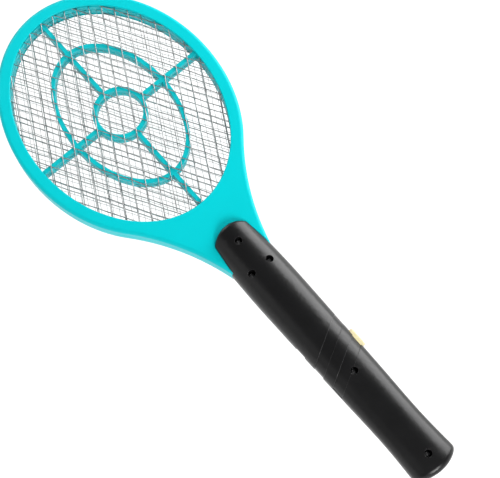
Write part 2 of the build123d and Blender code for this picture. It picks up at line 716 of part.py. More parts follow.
def axial_part(station, radius, length):
    """Small part lying across the board, on two bent legs."""
    height = BOARD_TOP + PART_FIT + radius
    half = length / 2 + LEG_REACH
    body = rod_along_x(station, height, radius, -length / 2, length / 2)
    for side in (-1, 1):
        leg = FilletPolyline(
            (side * length / 4, -station, height),
            (side * half, -station, height),
            (side * half, -station, BOARD_TOP),
            radius=LEG_BEND,
        )
        start = Plane(origin=leg @ 0, z_dir=leg % 0)
        body += sweep(start * Circle(LEG_RADIUS), leg)
    return body


def rectifier_diodes():
    stations = [DIODE_STATION + index * DIODE_PITCH for index in range(DIODE_COUNT)]
    return Compound([axial_part(station, DIODE_RADIUS, DIODE_LENGTH) for station in stations])


def bleed_resistors():
    stations = [RESISTOR_STATION + index * RESISTOR_PITCH for index in range(RESISTOR_COUNT)]
    parts = [axial_part(station, RESISTOR_RADIUS, RESISTOR_LENGTH) for station in stations]
    return Compound(parts)


def oscillator_transistor():
    low = BOARD_TOP + TRANSISTOR_STANDOFF
    station = TRANSISTOR_STATION
    body = post(TRANSISTOR_OFFSET, station, TRANSISTOR_RADIUS, low, low + TRANSISTOR_HEIGHT)
    flat = TRANSISTOR_OFFSET - TRANSISTOR_RADIUS / 2
    body -= block(flat - TRANSISTOR_RADIUS, flat, station - 5, station + 5, low - 1, FAR)
    for step in (-1, 0, 1):
        body += post(TRANSISTOR_OFFSET, station + step * 1.3, LEG_RADIUS, BOARD_TOP, low + 1)
    return body


def indicator_led():
    """Round lamp that looks out through the front shell."""
    low = LED_RECESS
    high = WALL + PART_FIT + LED_FLANGE_HEIGHT
    lamp = post(0, LED_STATION, LED_RADIUS, low, high)
    lamp = fillet(lamp.edges().sort_by(Axis.Z)[0], LED_RADIUS * 0.8)
    lamp += post(0, LED_STATION, LED_RADIUS + LED_FLANGE, WALL + PART_FIT, high)
    for side in (-1, 1):
        lamp += post(side * LED_LEG_OFFSET, LED_STATION, LEG_RADIUS, high - 0.5, BOARD_BOTTOM)
    return lamp


def switch_body():
    """Momentary switch that faces the handle's side, with a guide bore for its plunger."""
    x_high = SWITCH_OFFSET + SWITCH_SIZE / 2
    start = BUTTON_STATION - SWITCH_SIZE / 2
    top = HANDLE_SEAM + (HANDLE_SEAM - BOARD_TOP) * 0.8
    body = block(x_high - SWITCH_SIZE, x_high, start, start + SWITCH_SIZE, BOARD_TOP + PART_FIT, top)
    depth = PLUNGER_INSERT + BUTTON_TRAVEL + PLUNGER_FIT
    return body - rod_along_x(BUTTON_STATION, HANDLE_SEAM, PLUNGER_RADIUS + PLUNGER_FIT, x_high - depth, x_high + 1)


def switch_plunger():
    x_high = SWITCH_OFFSET + SWITCH_SIZE / 2
    return rod_along_x(BUTTON_STATION, HANDLE_SEAM, PLUNGER_RADIUS, x_high - PLUNGER_INSERT, x_high + PLUNGER_REST_REACH)


def push_button():
    """Crowned cap, a flange that keeps it in the handle, and a stem that meets the plunger."""
    flange_high = COLLAR_FACE - DOOR_TAB_CLEARANCE
    flange_low = flange_high - BUTTON_FLANGE_THICKNESS
    cap = button_well(0, flange_high - 0.1, button_side() + BUTTON_PROUD)
    cap = fillet(cap.faces().sort_by(Axis.X)[-1].edges(), BUTTON_CROWN)
    flange = button_well(BUTTON_FLANGE, flange_low, flange_high)
    plunger_tip = SWITCH_OFFSET + SWITCH_SIZE / 2 + PLUNGER_REST_REACH
    stem = rod_along_x(BUTTON_STATION, HANDLE_SEAM, BUTTON_STEM_RADIUS, plunger_tip, flange_low + 0.1)
    return cap + flange + stem


# ---------------------------------------------------------------- batteries


def cell(side):
    """Round cell; the right one points up the handle and the left one down it."""
    barrel = rod_along_y(0, 0, CELL_RADIUS, 0, CELL_LENGTH)
    barrel = fillet(barrel.edges(), CELL_ROUND)
    nub = rod_along_y(0, 0, CELL_NUB_RADIUS, -CELL_NUB_HEIGHT, 1)
    one = barrel + nub
    if side > 0:
        return Pos(CELL_OFFSET, -NEAR_FACE - PART_FIT - CELL_NUB_HEIGHT, CELL_HEIGHT) * one
    return Pos(-CELL_OFFSET, -FAR_PLATE + PART_FIT + CELL_NUB_HEIGHT, CELL_HEIGHT) * Rot(0, 0, 180) * one


def contact_plate(x_low, x_high, station):
    low = CELL_HEIGHT - CONTACT_HALF_WIDTH
    return block(x_low, x_high, station, station + CONTACT_THICKNESS, low, CELL_HEIGHT + CONTACT_HALF_WIDTH)


def battery_terminal_plates():
    plates = []
    for side in (-1, 1):
        middle = side * CELL_OFFSET
        plates.append(contact_plate(middle - CONTACT_HALF_WIDTH, middle + CONTACT_HALF_WIDTH, NEAR_PLATE))
    return Compound(plates)


def battery_bridge_plate():
    reach = CELL_OFFSET + CONTACT_HALF_WIDTH
    return contact_plate(-reach, reach, FAR_PLATE)


def battery_spring(x, plate_face, cell_face):
    """Conical contact spring between a plate and the flat end of a cell."""
    towards_cell = 1 if cell_face > plate_face else -1
    length = abs(cell_face - plate_face) - SPRING_WIRE - 2 * PART_FIT
    slope = math.degrees(math.atan((SPRING_LARGE_RADIUS - SPRING_SMALL_RADIUS) / length))
    path = Helix(length / SPRING_TURNS, length, SPRING_LARGE_RADIUS, cone_angle=-slope)
    start = Plane(origin=path @ 0, z_dir=path % 0)
    coil = sweep(start * Circle(SPRING_WIRE / 2), path, is_frenet=True)
    tilt = 90 if towards_cell > 0 else -90
    foot = plate_face + towards_cell * (SPRING_WIRE / 2 + PART_FIT)
    return Pos(x, -foot, CELL_HEIGHT) * Rot(tilt, 0, 0) * coil


def battery_springs():
    reach = PART_FIT + CELL_NUB_HEIGHT + CELL_LENGTH
    left = battery_spring(-CELL_OFFSET, NEAR_FACE, FAR_PLATE - reach)
    right = battery_spring(CELL_OFFSET, FAR_PLATE, NEAR_FACE + reach)
    return Compound([left, right])


def battery_door():
    """Piece of the front shell's wall, with a tab, a finger notch and a latch."""
    wall = handle_solid(False) - handle_solid(False, WALL)
    start = DOOR_START + DOOR_GAP
    end = DOOR_END - DOOR_GAP
    half_width = DOOR_HALF_WIDTH - DOOR_GAP
    door = wall & block(-half_width, half_width, start, end, -1, WALL + 1)
    notch = post(0, end - DOOR_NOTCH_RADIUS, DOOR_NOTCH_RADIUS, -1, DOOR_NOTCH_DEPTH)
    notch &= block(-FAR, FAR, end - DOOR_NOTCH_RADIUS, end - 2, -1, WALL)
    door -= notch
    tab_low = WALL + DOOR_TAB_CLEARANCE
    tab_top = tab_low + DOOR_TAB_THICKNESS
    half = DOOR_TAB_WIDTH / 2
    door += block(-half, half, start - DOOR_TAB_REACH, start + DOOR_TAB_ROOT, tab_low, tab_top)
    door += block(-half, half, start, start + DOOR_TAB_ROOT, WALL / 2, tab_top)
    latch_start = end - DOOR_LATCH_THICKNESS - DOOR_GAP
    half = DOOR_LATCH_WIDTH / 2
    top = WALL + DOOR_LATCH_HEIGHT
    door += block(-half, half, latch_start, end - DOOR_GAP, WALL / 2, top)
    return door


# ---------------------------------------------------------------- leads and grid contacts


def grid_contact_station(seat):
    """Station just past the wire ends at the contact's inner side."""
    half_width = OPENING_HALF_WIDTH + seat
    half_length = OPENING_HALF_LENGTH + seat
    inner_side = LEAD_OFFSET - GRID_CONTACT_WIDTH / 2
    return half_length * math.sqrt(1 - (inner_side / half_width) ** 2) + GRID_CONTACT_GAP


def inner_grid_contact():
    start = grid_contact_station(INNER_GRID_SEAT)
    half_height = INNER_GRID_ROOM / 2 - GRID_FIT
    half_width = GRID_CONTACT_WIDTH / 2
    return block(
        -LEAD_OFFSET - half_width,
        -LEAD_OFFSET + half_width,
        start,
        start + GRID_CONTACT_THICKNESS,
        HEAD_SEAM - half_height,
        HEAD_SEAM + half_height,
    )


def outer_grid_contact():
    start = grid_contact_station(OUTER_GRID_SEAT)
    half_width = GRID_CONTACT_WIDTH / 2
    reach = HOOP_TOP + OUTER_GRID_ROOM - 2 * GRID_FIT
    return block(
        LEAD_OFFSET - half_width,
        LEAD_OFFSET + half_width,
        start,
        start + GRID_CONTACT_THICKNESS,
        HEAD_SEAM - reach,
        HEAD_SEAM + reach,
    )


def hv_lead(side, seat):
    start = grid_contact_station(seat) + GRID_CONTACT_THICKNESS + PART_FIT
    return rod_along_y(side * LEAD_OFFSET, HEAD_SEAM, LEAD_RADIUS, start, BOARD_START + LEAD_ON_BOARD)


def hv_lead_inner():
    return hv_lead(-1, INNER_GRID_SEAT)


def hv_lead_outer():
    return hv_lead(1, OUTER_GRID_SEAT)


def battery_leads():
    leads = []
    for side in (-1, 1):
        end = NEAR_PLATE - PART_FIT
        start = BOARD_END - LEAD_ON_BOARD / 3
        leads.append(rod_along_y(side * BATTERY_LEAD_OFFSET, HEAD_SEAM, LEAD_RADIUS, start, end))
    return Compound(leads)


# ---------------------------------------------------------------- all the pieces

PIECES = {
    "frame_rear": frame_rear,
    "frame_front": frame_front,
    "spacer_web_rear": spacer_web_rear,
    "spacer_web_front": spacer_web_front,
    "outer_grid_rear": outer_grid_rear,
    "outer_grid_front": outer_grid_front,
    "inner_grid": inner_grid,
    "outer_grid_contact": outer_grid_contact,
    "inner_grid_contact": inner_grid_contact,
    "handle_shell_rear": handle_shell_rear,
    "handle_shell_front": handle_shell_front,
    "housing_screws": housing_screws,
    "circuit_board": circuit_board,
    "transformer_core": transformer_core,
    "transformer_winding": transformer_winding,
    "storage_capacitor": storage_capacitor,
    "rectifier_diodes": rectifier_diodes,
    "bleed_resistors": bleed_resistors,
    "oscillator_transistor": oscillator_transistor,
    "indicator_led": indicator_led,
    "switch_body": switch_body,
    "switch_plunger": switch_plunger,
    "push_button": push_button,
    "battery_right": lambda: cell(1),
    "battery_left": lambda: cell(-1),
    "battery_terminal_plates": battery_terminal_plates,
    "battery_bridge_plate": battery_bridge_plate,
    "battery_springs": battery_springs,
    "battery_door": battery_door,
    "hv_lead_outer": hv_lead_outer,
    "hv_lead_inner": hv_lead_inner,
    "battery_leads": battery_leads,
}


def export_part():
    os.makedirs("parts", exist_ok=True)
    for name, make in PIECES.items():
        piece = Pos(0, HEAD_CENTRE_Y, 0) * make()
        export_step(piece, f"parts/{name}.step")


export_part()
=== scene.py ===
"""Dresses the electric fly swatter: smooth housings, woven wire grids, screws, finishes and a studio."""

import math

import bmesh
import bpy
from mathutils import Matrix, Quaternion, Vector


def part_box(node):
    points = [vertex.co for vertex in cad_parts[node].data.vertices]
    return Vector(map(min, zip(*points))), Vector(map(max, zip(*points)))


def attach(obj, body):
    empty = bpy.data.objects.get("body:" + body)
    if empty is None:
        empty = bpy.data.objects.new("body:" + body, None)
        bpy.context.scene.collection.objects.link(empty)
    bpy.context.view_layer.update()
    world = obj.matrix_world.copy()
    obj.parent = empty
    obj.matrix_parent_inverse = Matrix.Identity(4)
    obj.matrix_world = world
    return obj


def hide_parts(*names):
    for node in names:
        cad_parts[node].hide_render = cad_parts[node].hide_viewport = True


bl_info = {
    "name": "Electric Fly Swatter",
    "version": (1, 0, 0),
    "blender": (4, 5, 0),
    "location": "3D View > Sidebar > Swatter",
    "description": "Builds the looks of an electric fly swatter on its packed frame",
    "category": "Object",
}

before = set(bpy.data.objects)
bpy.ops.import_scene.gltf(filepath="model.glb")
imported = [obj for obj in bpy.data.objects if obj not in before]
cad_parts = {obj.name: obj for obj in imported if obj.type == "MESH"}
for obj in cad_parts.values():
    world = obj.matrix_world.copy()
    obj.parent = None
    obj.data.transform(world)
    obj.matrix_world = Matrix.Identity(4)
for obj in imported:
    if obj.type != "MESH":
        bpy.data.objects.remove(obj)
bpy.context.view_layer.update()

MM = 0.001
METRE_IN_MM = 1000.0

# Points of a node's loose triangles that lie closer than this are one point
MERGE_DISTANCE = 0.002 * MM
SHORTEST_EDGE = 0.001 * MM
SHARP_ANGLE = 35.0


# ---------------------------------------------------------------- node trees


class Value:
    """A socket of a node tree that ordinary arithmetic works on."""

    def __init__(self, tree, socket):
        self.tree = tree
        self.socket = socket

    def math(self, operation, *values):
        return self.tree.math(operation, *values)

    def __add__(self, other):
        return self.math("ADD", self, other)

    def __radd__(self, other):
        return self.math("ADD", other, self)

    def __sub__(self, other):
        return self.math("SUBTRACT", self, other)

    def __rsub__(self, other):
        return self.math("SUBTRACT", other, self)

    def __mul__(self, other):
        return self.math("MULTIPLY", self, other)

    def __rmul__(self, other):
        return self.math("MULTIPLY", other, self)

    def __truediv__(self, other):
        return self.math("DIVIDE", self, other)

    def __rtruediv__(self, other):
        return self.math("DIVIDE", other, self)

    def __pow__(self, other):
        return self.math("POWER", self, other)

    def __neg__(self):
        return self.math("MULTIPLY", self, -1.0)

    def __abs__(self):
        return self.math("ABSOLUTE", self)

    def clamped(self, low=0.0, high=1.0):
        return self.math("MINIMUM", self.math("MAXIMUM", self, low), high)


class Tree:
    """Adds nodes to a shader or geometry tree, from their type, settings and socket values."""

    def __init__(self, tree):
        self.tree = tree
        tree.nodes.clear()

    def node(self, kind, options=None, values=None):
        """Sets the node's options first, then fills sockets by name or number with numbers or links."""
        node = self.tree.nodes.new(kind)
        for name, option in (options or {}).items():
            setattr(node, name, option)
        for key, value in (values or {}).items():
            socket = self.socket_of(node, key)
            if isinstance(value, Value):
                self.tree.links.new(value.socket, socket)
            else:
                socket.default_value = value
        return node

    @staticmethod
    def socket_of(node, key):
        """The input with this number, or the first open one with this name."""
        if isinstance(key, int):
            return node.inputs[key]
        open_sockets = [socket for socket in node.inputs if socket.name == key and socket.enabled]
        return open_sockets[0]

    def out(self, kind, options=None, values=None, output=0):
        """A new node's output as a value."""
        node = self.node(kind, options, values)
        if isinstance(output, str):
            output = [socket.name for socket in node.outputs].index(output)
        return Value(self, node.outputs[output])

    def math(self, operation, *values):
        return self.out("ShaderNodeMath", {"operation": operation}, dict(enumerate(values)))

    def vector(self, x=0.0, y=0.0, z=0.0):
        return self.out("ShaderNodeCombineXYZ", None, {"X": x, "Y": y, "Z": z})

    def parts(self, vector):
        """The three numbers of a vector."""
        node = self.node("ShaderNodeSeparateXYZ", None, {0: vector})
        return [Value(self, socket) for socket in node.outputs]

    def mix_colour(self, share, first, second):
        """The first colour at share 0 and the second at share 1."""
        values = {"Factor": share, 6: first, 7: second}
        return self.out("ShaderNodeMix", {"data_type": "RGBA"}, values, output=2)


# ---------------------------------------------------------------- settings


class SwatterGridSettings(bpy.types.PropertyGroup):
    """Sizes of the wire grids"""

    outer_wire: bpy.props.FloatProperty(
        name="Outer wire",
        description="Diameter of the outer grids' wire",
        default=0.8 * MM,
        unit="LENGTH",
    )
    outer_pitch: bpy.props.FloatProperty(
        name="Outer pitch",
        description="Distance between neighbouring wires of the outer grids",
        default=10.0 * MM,
        unit="LENGTH",
    )
    inner_wire: bpy.props.FloatProperty(
        name="Inner wire",
        description="Diameter of the inner mesh's wire",
        default=0.36 * MM,
        unit="LENGTH",
    )
    inner_pitch: bpy.props.FloatProperty(
        name="Inner pitch",
        description="Distance between neighbouring wires of the inner mesh",
        default=4.6 * MM,
        unit="LENGTH",
    )
    half_angle: bpy.props.FloatProperty(
        name="Lean",
        description="Angle between each family of wires and the length of the head",
        default=math.radians(30),
        subtype="ANGLE",
    )
    waviness: bpy.props.FloatProperty(
        name="Waviness",
        description="How far a wire wanders from its straight line",
        default=0.12 * MM,
        unit="LENGTH",
    )


class SwatterScrewSettings(bpy.types.PropertyGroup):
    """Sizes of the screws' cross recess"""

    recess_width: bpy.props.FloatProperty(
        name="Recess width",
        description="Width of the cross recess's arms",
        default=0.8 * MM,
        unit="LENGTH",
    )
    recess_reach: bpy.props.FloatProperty(
        name="Recess reach",
        description="Length of each arm from the middle of the head",
        default=1.75 * MM,
        unit="LENGTH",
    )
    recess_depth: bpy.props.FloatProperty(
        name="Recess depth",
        description="Depth of the cross recess",
        default=1.1 * MM,
        unit="LENGTH",
    )


class SwatterColourSettings(bpy.types.PropertyGroup):
    """Colours of the main pieces"""

    head: bpy.props.FloatVectorProperty(
        name="Head",
        description="Colour of the head's two frame halves",
        subtype="COLOR",
        default=(0.001, 0.48, 0.52),
    )
    # A little darker than the head's colour: painted shade for the wires that lie over the ribs
    web_with_painted_shade: bpy.props.FloatVectorProperty(
        name="Ribs",
        description="Colour of the rib webs inside the head",
        subtype="COLOR",
        default=(0.001, 0.44, 0.48),
    )
    handle: bpy.props.FloatVectorProperty(
        name="Handle",
        description="Colour of the handle's shells and of the battery door",
        subtype="COLOR",
        default=(0.0025, 0.0025, 0.0028),
    )
    button: bpy.props.FloatVectorProperty(
        name="Button",
        description="Colour of the push button",
        subtype="COLOR",
        default=(0.68, 0.60, 0.36),
    )
    outer_wire: bpy.props.FloatVectorProperty(
        name="Outer wire",
        description="Colour of the outer grids' steel",
        subtype="COLOR",
        default=(0.40, 0.40, 0.40),
    )
    inner_wire: bpy.props.FloatVectorProperty(
        name="Inner wire",
        description="Colour of the inner mesh's steel",
        subtype="COLOR",
        default=(0.42, 0.42, 0.42),
    )


class SwatterStageSettings(bpy.types.PropertyGroup):
    """Camera, floor and lights"""

    eye: bpy.props.FloatVectorProperty(
        name="Camera",
        description="Place of the camera",
        subtype="XYZ",
        unit="LENGTH",
        default=(-0.1591, -0.2137, 0.9776),
    )
    target: bpy.props.FloatVectorProperty(
        name="Aim",
        description="Point that the camera looks at",
        subtype="XYZ",
        unit="LENGTH",
        default=(0.00895, -0.01601, 0.018),
    )
    roll: bpy.props.FloatProperty(
        name="Roll",
        description="Turn of the camera about its own axis",
        default=math.radians(-0.6),
        subtype="ANGLE",
    )
    lens: bpy.props.FloatProperty(
        name="Lens",
        description="Focal length in millimetres, for a sensor 36 mm wide",
        default=93.6,
        unit="CAMERA",
    )
    ambient: bpy.props.FloatProperty(
        name="Ambient",
        description="Strength of the even light from all around",
        default=0.15,
    )
    drop: bpy.props.FloatProperty(
        name="Floor drop",
        description="How far the floor lies below the swatter, so that the open battery door clears it",
        default=90.0 * MM,
        subtype="DISTANCE",
        unit="LENGTH",
    )
    glow: bpy.props.FloatProperty(
        name="Floor glow",
        description="Light that the floor gives off, so that it stays pale under the mesh",
        default=0.73,
    )
    light: bpy.props.FloatProperty(
        name="Light",
        description="Factor on the power of every soft light",
        default=1.0,
    )


SENSOR_WIDTH = 36.0

# Metres: radius of the floor, bend into the wall, and height of the wall
STUDIO_RADIUS = 4.0
STUDIO_BEND = 0.6
STUDIO_WALL = 1.5
STUDIO_SEGMENTS = 96
STUDIO_BEND_STEPS = 8
WHITE = (1.0, 1.0, 1.0, 1.0)

# Name, place, side and power of each light
SOFT_BOXES = (
    ("Right", (1.05, 0.1, 0.42), 0.85, 16.0),
    ("Left", (-1.7, 0.5, 1.5), 1.2, 3.5),
    ("Head_side", (0.2, 2.1, 1.3), 1.3, 24.0),
    ("Handle_side", (-0.4, -1.9, 1.9), 1.3, 66.0),
)


def settings(group):
    """The scene's own copy of one group of settings."""
    return getattr(bpy.context.scene, "swatter_" + group)


# ---------------------------------------------------------------- pieces from meshes


def finish_piece(piece, body, material, nodes):
    """Gives a piece its material and body, and hides the nodes that it stands for."""
    piece.data.materials.clear()
    piece.data.materials.append(material)
    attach(piece, body)
    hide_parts(*nodes)


def new_object(name, data):
    """An object at the origin that shows a mesh, a light or a camera."""
    piece = bpy.data.objects.new(name, data)
    bpy.context.scene.collection.objects.link(piece)
    return piece


def smooth_copy(node, name, sharp_angle=SHARP_ANGLE):
    """A merged copy of a node's mesh with smooth shading and sharp edges kept."""
    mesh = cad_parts[node].data.copy()
    work = bmesh.new()
    work.from_mesh(mesh)
    bmesh.ops.remove_doubles(work, verts=work.verts, dist=MERGE_DISTANCE)
    bmesh.ops.dissolve_degenerate(work, edges=work.edges, dist=SHORTEST_EDGE)
    limit = math.radians(sharp_angle)
    for face in work.faces:
        face.smooth = True
    for edge in work.edges:
        edge.smooth = len(edge.link_faces) == 2 and edge.calc_face_angle(0.0) < limit
    work.to_mesh(mesh)
    work.free()
    mesh.name = name
    old_normals = mesh.attributes.get("custom_normal")
    if old_normals is not None:
        mesh.attributes.remove(old_normals)
    piece = new_object(name, mesh)
    weighting = piece.modifiers.new("Weighting", "WEIGHTED_NORMAL")
    weighting.keep_sharp = True
    return apply_modifiers(piece)


def apply_modifiers(piece):
    """Turns a piece's evaluated shape into its plain mesh."""
    graph = bpy.context.evaluated_depsgraph_get()
    mesh = bpy.data.meshes.new_from_object(piece.evaluated_get(graph))
    mesh.name = piece.name
    piece.modifiers.clear()
    piece.data = mesh
    return piece


def dress_node(node, material):
    """Puts a material on a node whose own shape shows."""
    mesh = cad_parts[node].data
    if not mesh.materials:
        mesh.materials.append(material)
    for index in range(len(mesh.materials)):
        mesh.materials[index] = material


# ---------------------------------------------------------------- materials


class Finish:
    """A material with one Principled shader, filled through a Tree."""

    def __init__(self, name):
        self.material = bpy.data.materials.new(name)
        self.material.use_nodes = True
        self.tree = Tree(self.material.node_tree)
        self.shader = self.tree.node("ShaderNodeBsdfPrincipled")
        output = self.tree.node("ShaderNodeOutputMaterial")
        self.material.node_tree.links.new(self.shader.outputs[0], output.inputs[0])

    def place(self, scale=1.0):
        """Object coordinates in millimetres, times scale."""
        coordinates = self.tree.out("ShaderNodeTexCoord", output="Object")
        values = {0: coordinates, "Scale": METRE_IN_MM * scale}
        return self.tree.out("ShaderNodeVectorMath", {"operation": "SCALE"}, values)

    def noise(self, place, size, detail=3.0, roughness=0.5):
        """Noise from 0 to 1 whose cells are about size millimetres wide."""
        values = {"Vector": place, "Scale": 1.0 / size, "Detail": detail, "Roughness": roughness}
        return self.tree.out("ShaderNodeTexNoise", None, values)

    def cells(self, place, size, feature="F1"):
        """Distance within cells about size millimetres wide."""
        values = {"Vector": place, "Scale": 1.0 / size}
        return self.tree.out("ShaderNodeTexVoronoi", {"feature": feature}, values)

    def steps(self, value, low, high):
        """0 below low, 1 above high, and smooth between them."""
        values = {"Value": value, "From Min": low, "From Max": high}
        return self.tree.out("ShaderNodeMapRange", {"interpolation_type": "SMOOTHSTEP"}, values)

    def rounded_normal(self, radius):
        """Normal of a surface whose edges look rounded by radius millimetres."""
        return self.tree.out("ShaderNodeBevel", {"samples": 4}, {"Radius": radius * MM})

    def edge_mask(self, width):
        """Above 0 on convex and concave edges, and 0 from width millimetres on."""
        values = {0: self.rounded_normal(width), 1: self.tree.out("ShaderNodeNewGeometry", output="Normal")}
        match = self.tree.out("ShaderNodeVectorMath", {"operation": "DOT_PRODUCT"}, values, output="Value")
        return (1.0 - match).clamped()

    def set(self, name, value):
        """Links a value to one of the shader's sockets, or sets the socket itself to a constant."""
        socket = self.shader.inputs[name]
        if isinstance(value, Value):
            self.tree.tree.links.new(value.socket, socket)
        else:
            socket.default_value = value

    def bump(self, height, depth, edge_round=0.0):
        """Bump of depth millimetres, on edges that look rounded by edge_round millimetres."""
        values = {"Height": height, "Distance": depth * MM, "Strength": 1.0}
        if edge_round:
            values["Normal"] = self.rounded_normal(edge_round)
        self.set("Normal", self.tree.out("ShaderNodeBump", None, values))


def scaled(colour, factor):
    """An opaque colour with each channel times factor, up to 1."""
    return (*[min(1.0, channel * factor) for channel in colour], 1.0)


def moulded_plastic(name, colour, roughness, grain, grain_depth, contrast=0.06, edge_round=0.25):
    """Satin moulded plastic: fine spark-eroded grain, faint mottling and flow, slightly worn edges."""
    finish = Finish(name)
    place = finish.place()
    cloud = finish.noise(place, size=38.0, detail=4.0)
    speck = finish.noise(place, size=1.3, detail=2.0)
    shade = (cloud * 0.75 + speck * 0.25).clamped()
    low = scaled(colour, 1.0 - contrast)
    high = scaled(colour, 1.0 + contrast)
    body = finish.tree.mix_colour(shade, low, high)
    edge_wear_and_highlight = finish.steps(finish.edge_mask(width=0.5), low=0.02, high=0.25)
    rub = finish.steps(finish.noise(place, size=5.0, detail=5.0), low=0.45, high=0.7)
    worn = finish.tree.mix_colour(edge_wear_and_highlight * rub * 0.35, body, scaled(colour, 1.35))
    finish.set("Base Color", worn)
    smear = finish.noise(place, size=14.0, detail=6.0, roughness=0.6)
    finish.set("Roughness", (roughness + (smear - 0.5) * 0.16 + edge_wear_and_highlight * 0.06).clamped(0.05, 1.0))
    pits = finish.noise(place, grain, detail=2.0, roughness=0.55)
    swell = finish.noise(place, size=16.0, detail=1.0)
    finish.bump(pits + swell * 1.2, grain_depth, edge_round)
    return finish


def turquoise_plastic(name, colour, roughness, gloss, glow_share, glow_depth, glow_tint):
    """Moulded plastic that light enters to glow_depth millimetres."""
    finish = moulded_plastic(name, colour, roughness, grain=0.55, grain_depth=0.010)
    finish.set("IOR", 1.5)
    finish.set("Specular IOR Level", gloss)
    finish.set("Subsurface Weight", glow_share)
    finish.set("Subsurface Scale", glow_depth * MM)
    finish.set("Subsurface Radius", glow_tint)
    return finish.material


def head_plastic():
    """Thick walls: little light passes."""
    colour = settings("colours").head
    return turquoise_plastic("Turquoise plastic", colour, 0.33, 0.1, 0.04, 1.5, (0.2, 0.8, 1.0))


def web_plastic():
    """Thin ribs: light shines through them; their colour is a little darker than the head's as painted
    shade.
    """
    colour = settings("colours").web_with_painted_shade
    return turquoise_plastic("Turquoise rib plastic", colour, 0.40, 0.2, 0.3, 3.0, (0.1, 0.9, 1.0))


def handle_plastic():
    """Black plastic with a fine leather-like grain, rubbed a little glossier in places, its edges painted
    lighter: partly wear, partly a painted highlight.
    """
    colour = settings("colours").handle
    finish = Finish("Black grained plastic")
    place = finish.place()
    cloud = finish.noise(place, size=30.0, detail=5.0)
    dust = finish.steps(finish.noise(place, size=2.2, detail=6.0, roughness=0.7), low=0.52, high=0.8)
    body = finish.tree.mix_colour(cloud, scaled(colour, 0.8), scaled(colour, 1.25))
    dusty = finish.tree.mix_colour(dust * 0.08, body, (0.02, 0.02, 0.022, 1.0))
    # Edges and grip creases painted lighter grey: partly edge wear, partly a painted highlight
    edge_wear_and_highlight = finish.steps(finish.edge_mask(width=0.5), low=0.02, high=0.25)
    finish.set("Base Color", finish.tree.mix_colour(edge_wear_and_highlight * 0.4, dusty, (0.12, 0.12, 0.125, 1.0)))
    rubbed = finish.noise(place, size=22.0, detail=4.0)
    finish.set("Roughness", (0.27 + rubbed * 0.10 + dust * 0.06).clamped(0.05, 1.0))
    pebbles = finish.cells(place, size=0.7)
    grit = finish.noise(place, size=0.3)
    swell = finish.noise(place, size=12.0, detail=1.0)
    finish.bump(pebbles * 0.8 + grit * 0.5 + swell * 1.6, depth=0.012, edge_round=0.25)
    finish.set("IOR", 1.48)
    finish.set("Specular IOR Level", 0.42)
    return finish.material


def button_plastic():
    """Smooth pale plastic with a thin gloss."""
    colour = settings("colours").button
    finish = moulded_plastic("Pale yellow plastic", colour, 0.28, 0.5, 0.006, contrast=0.03, edge_round=0.3)
    finish.set("Subsurface Weight", 0.12)
    finish.set("Subsurface Scale", 1.0 * MM)
    finish.set("Coat Weight", 0.15)
    return finish.material


def drawn_wire(name, colour, roughness, streak):
    """Drawn steel wire: dull patches, fine die lines and a few dark spots."""
    finish = Finish(name)
    place = finish.place()
    patch = finish.noise(place, streak * 8.0, detail=4.0)
    fine = finish.noise(place, streak, detail=3.0)
    spots = finish.steps(finish.noise(place, streak * 2.0, detail=5.0, roughness=0.7), low=0.58, high=0.72)
    body = finish.tree.mix_colour(patch, scaled(colour, 0.75), scaled(colour, 1.25))
    finish.set("Base Color", finish.tree.mix_colour(spots * 0.5, body, scaled(colour, 0.35)))
    finish.set("Metallic", 1.0)
    finish.set("Roughness", (roughness + (patch - 0.5) * 0.2 + spots * 0.15).clamped(0.05, 1.0))
    finish.bump(fine, depth=0.01)
    return finish.material


def plain_metal(name, colour, roughness, grain=0.4):
    """Sheet or turned metal with fine rolling marks."""
    finish = Finish(name)
    place = finish.place()
    marks = finish.noise(place, grain, detail=4.0)
    tarnish = finish.noise(place, size=3.0, detail=5.0)
    finish.set("Base Color", finish.tree.mix_colour(tarnish, scaled(colour, 0.8), scaled(colour, 1.15)))
    finish.set("Metallic", 1.0)
    finish.set("Roughness", (roughness + (marks - 0.5) * 0.2).clamped(0.05, 1.0))
    finish.bump(marks, depth=0.006, edge_round=0.08)
    return finish.material


def small_part(name, colour, roughness, grain=0.5, depth=0.008):
    """Body of a small electrical part: moulded or dipped, with a slight orange-peel."""
    return moulded_plastic(name, colour, roughness, grain, depth, contrast=0.12, edge_round=0.12).material


def circuit_laminate():
    """Green laminate with a woven texture and paler tracks under the lacquer."""
    finish = Finish("Green laminate")
    place = finish.place()
    across, along, _ = finish.tree.parts(place)
    weave = finish.tree.math("SINE", across * 8.0) * finish.tree.math("SINE", along * 8.0)
    tracks = finish.steps(finish.cells(place, size=5.0, feature="DISTANCE_TO_EDGE"), low=0.10, high=0.14)
    body = finish.tree.mix_colour(tracks, (0.06, 0.24, 0.07, 1.0), (0.02, 0.12, 0.035, 1.0))
    finish.set("Base Color", body)
    finish.set("Roughness", (0.3 + weave * 0.04).clamped())
    finish.bump(weave * 0.3 - tracks, depth=0.02)
    return finish.material


def coil_wire():
    """Lacquered copper in close turns, with painted shade in the grooves between turns."""
    finish = Finish("Copper winding")
    place = finish.place()
    _, along, _ = finish.tree.parts(place)
    turns = abs(finish.tree.math("SINE", along * 12.0))
    # The groove between turns is painted dark brown as painted shade; the crests keep the bright copper
    body = finish.tree.mix_colour(turns, (0.16, 0.05, 0.015, 1.0), (0.62, 0.27, 0.10, 1.0))
    finish.set("Base Color", body)
    finish.set("Metallic", 0.8)
    finish.set("Roughness", 0.32)
    finish.bump(turns, depth=0.06)
    return finish.material


